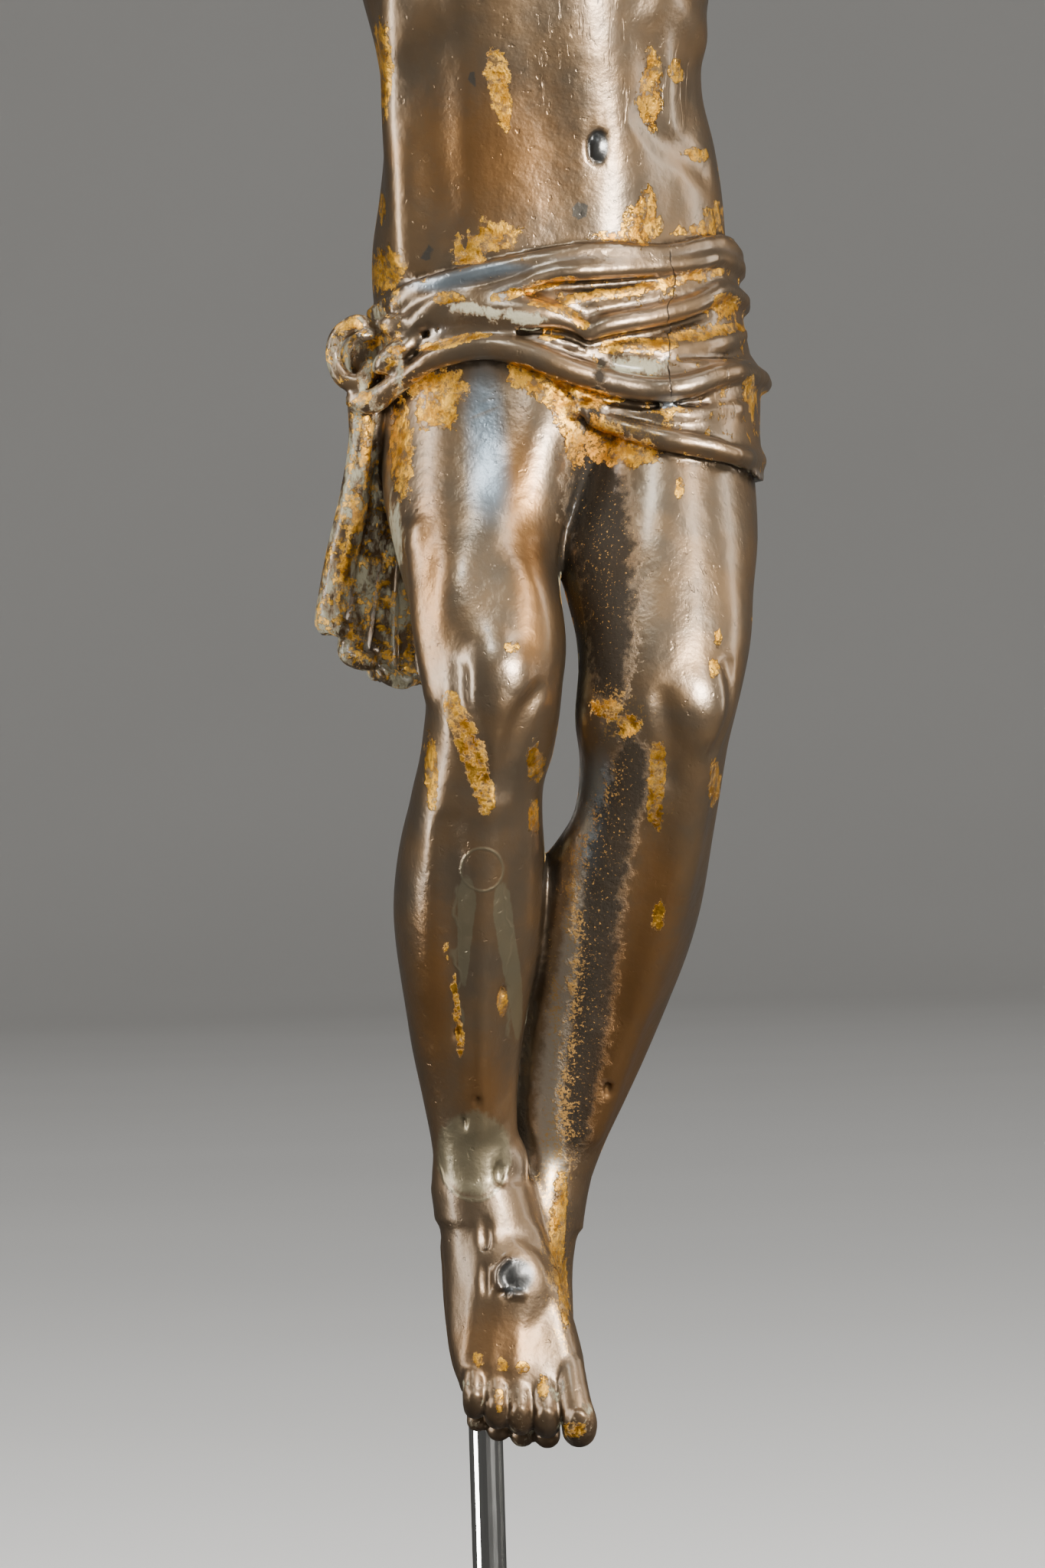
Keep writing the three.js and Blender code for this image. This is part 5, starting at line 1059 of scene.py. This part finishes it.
# Near black: dark patina and painted shadow on the patches, and painted shade wherever the surface is deeply
# shut in
dark_patina_and_shade = ragged("dark_patina_and_shade", 0.3, 0.65, 1).larger(seen["shut_in"].between(0.55, 1.0) * 0.8)
gilt = ragged("gold")
leaf = gilt * (1 - bronze.noise(1.5, 7, 0.8).between(0.5, 0.57) * 0.85)
grit = bronze.noise(0.4, 3, 0.7)
sparks = (grit + seen["speckle"] * 0.12 - 0.06).between(0.66, 0.7) * seen["speckle"].between(0.05, 0.4)
dust = (grit + (grain_small - 0.5) * 0.7 + seen["dust"] * 0.35 - 0.3).between(0.48, 0.56)
dust = dust * seen["dust"].between(0.02, 0.2)
crumbs = bronze.noise(3, 8, 0.75, (1, 1, 0.5)) - 0.5
chalk = (seen["residue"] + dirt_and_shade * 0.12 + crumbs * 2.4).between(0.5, 0.75)
stain = ragged("spot", 0.4, 0.5, 0.4)
scores = bronze.noise(0.8, 2, 0.5, (1, 1, 0.07)).between(0.6, 0.66) * seen["scratch"].between(0.1, 0.6)
pitted = bronze.noise(1.3, 2, 0.5).between(0.66, 0.74)

colour = bronze.mix(grain_wide.between(0.3, 0.7), (0.2, 0.147, 0.095), (0.24, 0.152, 0.078))
# copper-brown tone, and painted shade on the right thigh
colour = bronze.mix(ragged("copper_and_shade", 0.1, 0.9, 0.6) * 0.85, colour, (0.3, 0.145, 0.045))
colour = bronze.mix(rubbed * 0.8, colour, (0.4, 0.35, 0.3))
colour = bronze.mix(feet * 0.45, colour, (0.13, 0.085, 0.05))
colour = bronze.mix(ragged("worn", 0.3, 0.7, 0.9) * 0.75, colour, (0.46, 0.39, 0.3))
# painted bluish highlight
colour = bronze.mix(seen["painted_blue_highlight"].between(0.2, 0.9) * 0.8, colour, (0.26, 0.33, 0.38))
colour = bronze.mix(ragged("pale", 0.4, 0.5, 0.3).larger(repair_line) * 0.6, colour, (0.3, 0.27, 0.17))
# painted shade and dirt in the hollows
colour = bronze.mix(dirt_and_shade * 0.85, colour, (0.045, 0.03, 0.016))
# near black: dark patina and painted shadow
colour = bronze.mix(dark_patina_and_shade * 0.9, colour, (0.02, 0.016, 0.011))
colour = bronze.mix(chalk * 0.7, colour, (0.31, 0.3, 0.19))
leaf_colour = bronze.mix(grain_small.between(0.4, 0.62), (0.4, 0.175, 0.012), (0.88, 0.47, 0.06))
colour = bronze.mix(leaf, colour, leaf_colour)
colour = bronze.mix(sparks.larger(dust * 0.75), colour, (0.52, 0.3, 0.085))
colour = bronze.mix(stain * 0.8, colour, (0.1, 0.1, 0.09))
colour = bronze.mix(seen["plug"].between(0.35, 0.6) * 0.85, colour, (0.085, 0.095, 0.1))
colour = bronze.mix(scores * 0.3, colour, (0.08, 0.055, 0.035))
colour = bronze.mix(split, colour, (0.015, 0.012, 0.01))

height = bronze.bump(bronze.noise(3.2, 3), 0.16)
height = bronze.bump(grain_fine, 0.03, below=height)
height = bronze.bump(1 - pitted, 0.05, 0.6, below=height)
height = bronze.bump(leaf * (0.6 + 0.3 * grain_fine) + repair_line * 0.5, 0.1, below=height)
height = bronze.bump(grain_small * (dark_patina_and_shade.larger(chalk).larger(gilt * 0.5)), 0.25, 0.8, below=height)
height = bronze.bump(1 - scores.larger(split), 0.08, below=height)
rough = 0.25 + 0.08 * feet + 0.14 * grain_wide - 0.05 * rubbed + 0.05 * leaf
rough = rough + 0.45 * dark_patina_and_shade + 0.4 * chalk + 0.1 * scores
lacquer = 0.55 - 0.5 * leaf - 0.55 * dark_patina_and_shade - 0.35 * seen["copper_and_shade"] - 0.3 * feet
corpus.data.materials.append(bronze.finish(
    Base_Color=colour, Metallic=(0.9 + 0.08 * leaf) * (1 - chalk * 0.9) * (1 - dark_patina_and_shade * 0.1),
    Roughness=rough.clamped(), Coat_Weight=lacquer.clamped(), Coat_Roughness=0.22, IOR=1.7,
    Normal=height))

# %% [markdown]
# ## Rod and foot
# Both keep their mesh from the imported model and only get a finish. Turned pieces could be built again
# with rounder edges, but the picture shows no more of them than a short length of the rod.

# %% Steel and enamel
steel = Recipe("polished_steel")
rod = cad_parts["stand_rod"]
rod.data.materials.clear()
rod.data.materials.append(steel.finish(
    Base_Color=(0.72, 0.72, 0.7), Metallic=1.0,
    Roughness=0.12 + 0.08 * steel.noise(0.5, 4, 0.6, (1, 1, 0.1))))

enamel = Recipe("black_enamel")
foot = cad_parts["stand_foot"]
foot.data.materials.clear()
foot.data.materials.append(enamel.finish(
    Base_Color=(0.012, 0.012, 0.014), Metallic=0.0, Roughness=0.35 + 0.1 * enamel.noise(2, 3)))

# %% [markdown]
# ## Light
# Bronze shows its form by what it mirrors, so each light is a soft box whose bright line has its own
# place. One low at the right is for the belly. Two high ones are for the thighs, which lean back: a warm
# one for the left thigh and a cooler one for the right. Narrow ones at the far left and right draw the
# flanks, and one hangs behind for the hair and shoulders. The paper behind is left out of the mirror
# image. It could be left in, but then the shins would turn pale and flat.


# %% Floor and lights
def bowl(reach=7.0, bend=1.5, height=5.0, steps=12, sides=96):
    """A round floor that curves up into a wall all round."""
    bends = np.linspace(0, math.pi / 2, steps)
    profile = [(0.5, 0.0)] + [(reach - bend + bend * math.sin(a), bend - bend * math.cos(a)) for a in bends]
    profile.append((reach, height))
    around = np.arange(sides) * 2 * math.pi / sides
    verts = [(r * math.cos(a), r * math.sin(a), z) for r, z in profile for a in around]
    quads = [(row + i, row + (i + 1) % sides, row + sides + (i + 1) % sides, row + sides + i)
             for row in range(0, sides * (len(profile) - 1), sides) for i in range(sides)]
    quads.append(tuple(reversed(range(sides))))
    made = bpy.data.meshes.new("backdrop")
    made.from_pydata(verts, [], quads)
    made.shade_smooth()
    return made


backdrop = bpy.data.objects.new("backdrop", bowl())
bpy.context.scene.collection.objects.link(backdrop)
paper = Recipe("backdrop_paper")
backdrop.data.materials.append(paper.finish(
    Base_Color=paper.mix(paper.noise(300), (0.62, 0.61, 0.59), (0.66, 0.65, 0.63)), Roughness=0.9))
backdrop.visible_glossy = False


def soft_light(name, angle, height, distance, width, tall, power, warm=(1, 1, 1), aim=(0, 0, 0.19)):
    """A soft box at an angle from the camera's side, in degrees, positive to the right."""
    data = bpy.data.lights.new(name, "AREA")
    data.shape, data.size, data.size_y, data.energy, data.color = "RECTANGLE", width, tall, power, warm
    made = bpy.data.objects.new(name, data)
    a = math.radians(angle)
    made.location = (distance * math.sin(a), -distance * math.cos(a), height)
    made.rotation_euler = (Vector(aim) - made.location).to_track_quat("-Z", "Y").to_euler()
    made.visible_camera = False
    bpy.context.scene.collection.objects.link(made)
    return made


# Angle, height, distance, width, length, power, then colour and aim where they are not the usual ones
soft_light("key", 50, 0.95, 0.85, 0.14, 0.7, 4.6, (1, 0.97, 0.93))
soft_light("belly", 36, 0.3, 0.8, 0.26, 0.24, 18, (1, 0.97, 0.93), (0, 0, 0.24))
soft_light("front", -12, 1.25, 0.95, 0.16, 0.3, 6, (0.86, 0.94, 1))
soft_light("rim", -76, 0.35, 0.8, 0.13, 1.0, 8)
soft_light("side", 96, 0.4, 0.9, 0.14, 0.8, 2.8, (1, 0.95, 0.88))
soft_light("top", 180, 1.4, 0.3, 0.9, 0.9, 7)
ceiling = soft_light("ceiling", 0, 4, 0.01, 8, 8, 170)
ceiling.visible_glossy = False
world = bpy.data.worlds.new("studio")
bpy.context.scene.world = world
world.use_nodes = True
sky = world.node_tree.nodes["Background"]
sky.inputs["Color"].default_value = (0.5, 0.49, 0.47, 1)
sky.inputs["Strength"].default_value = 0.16
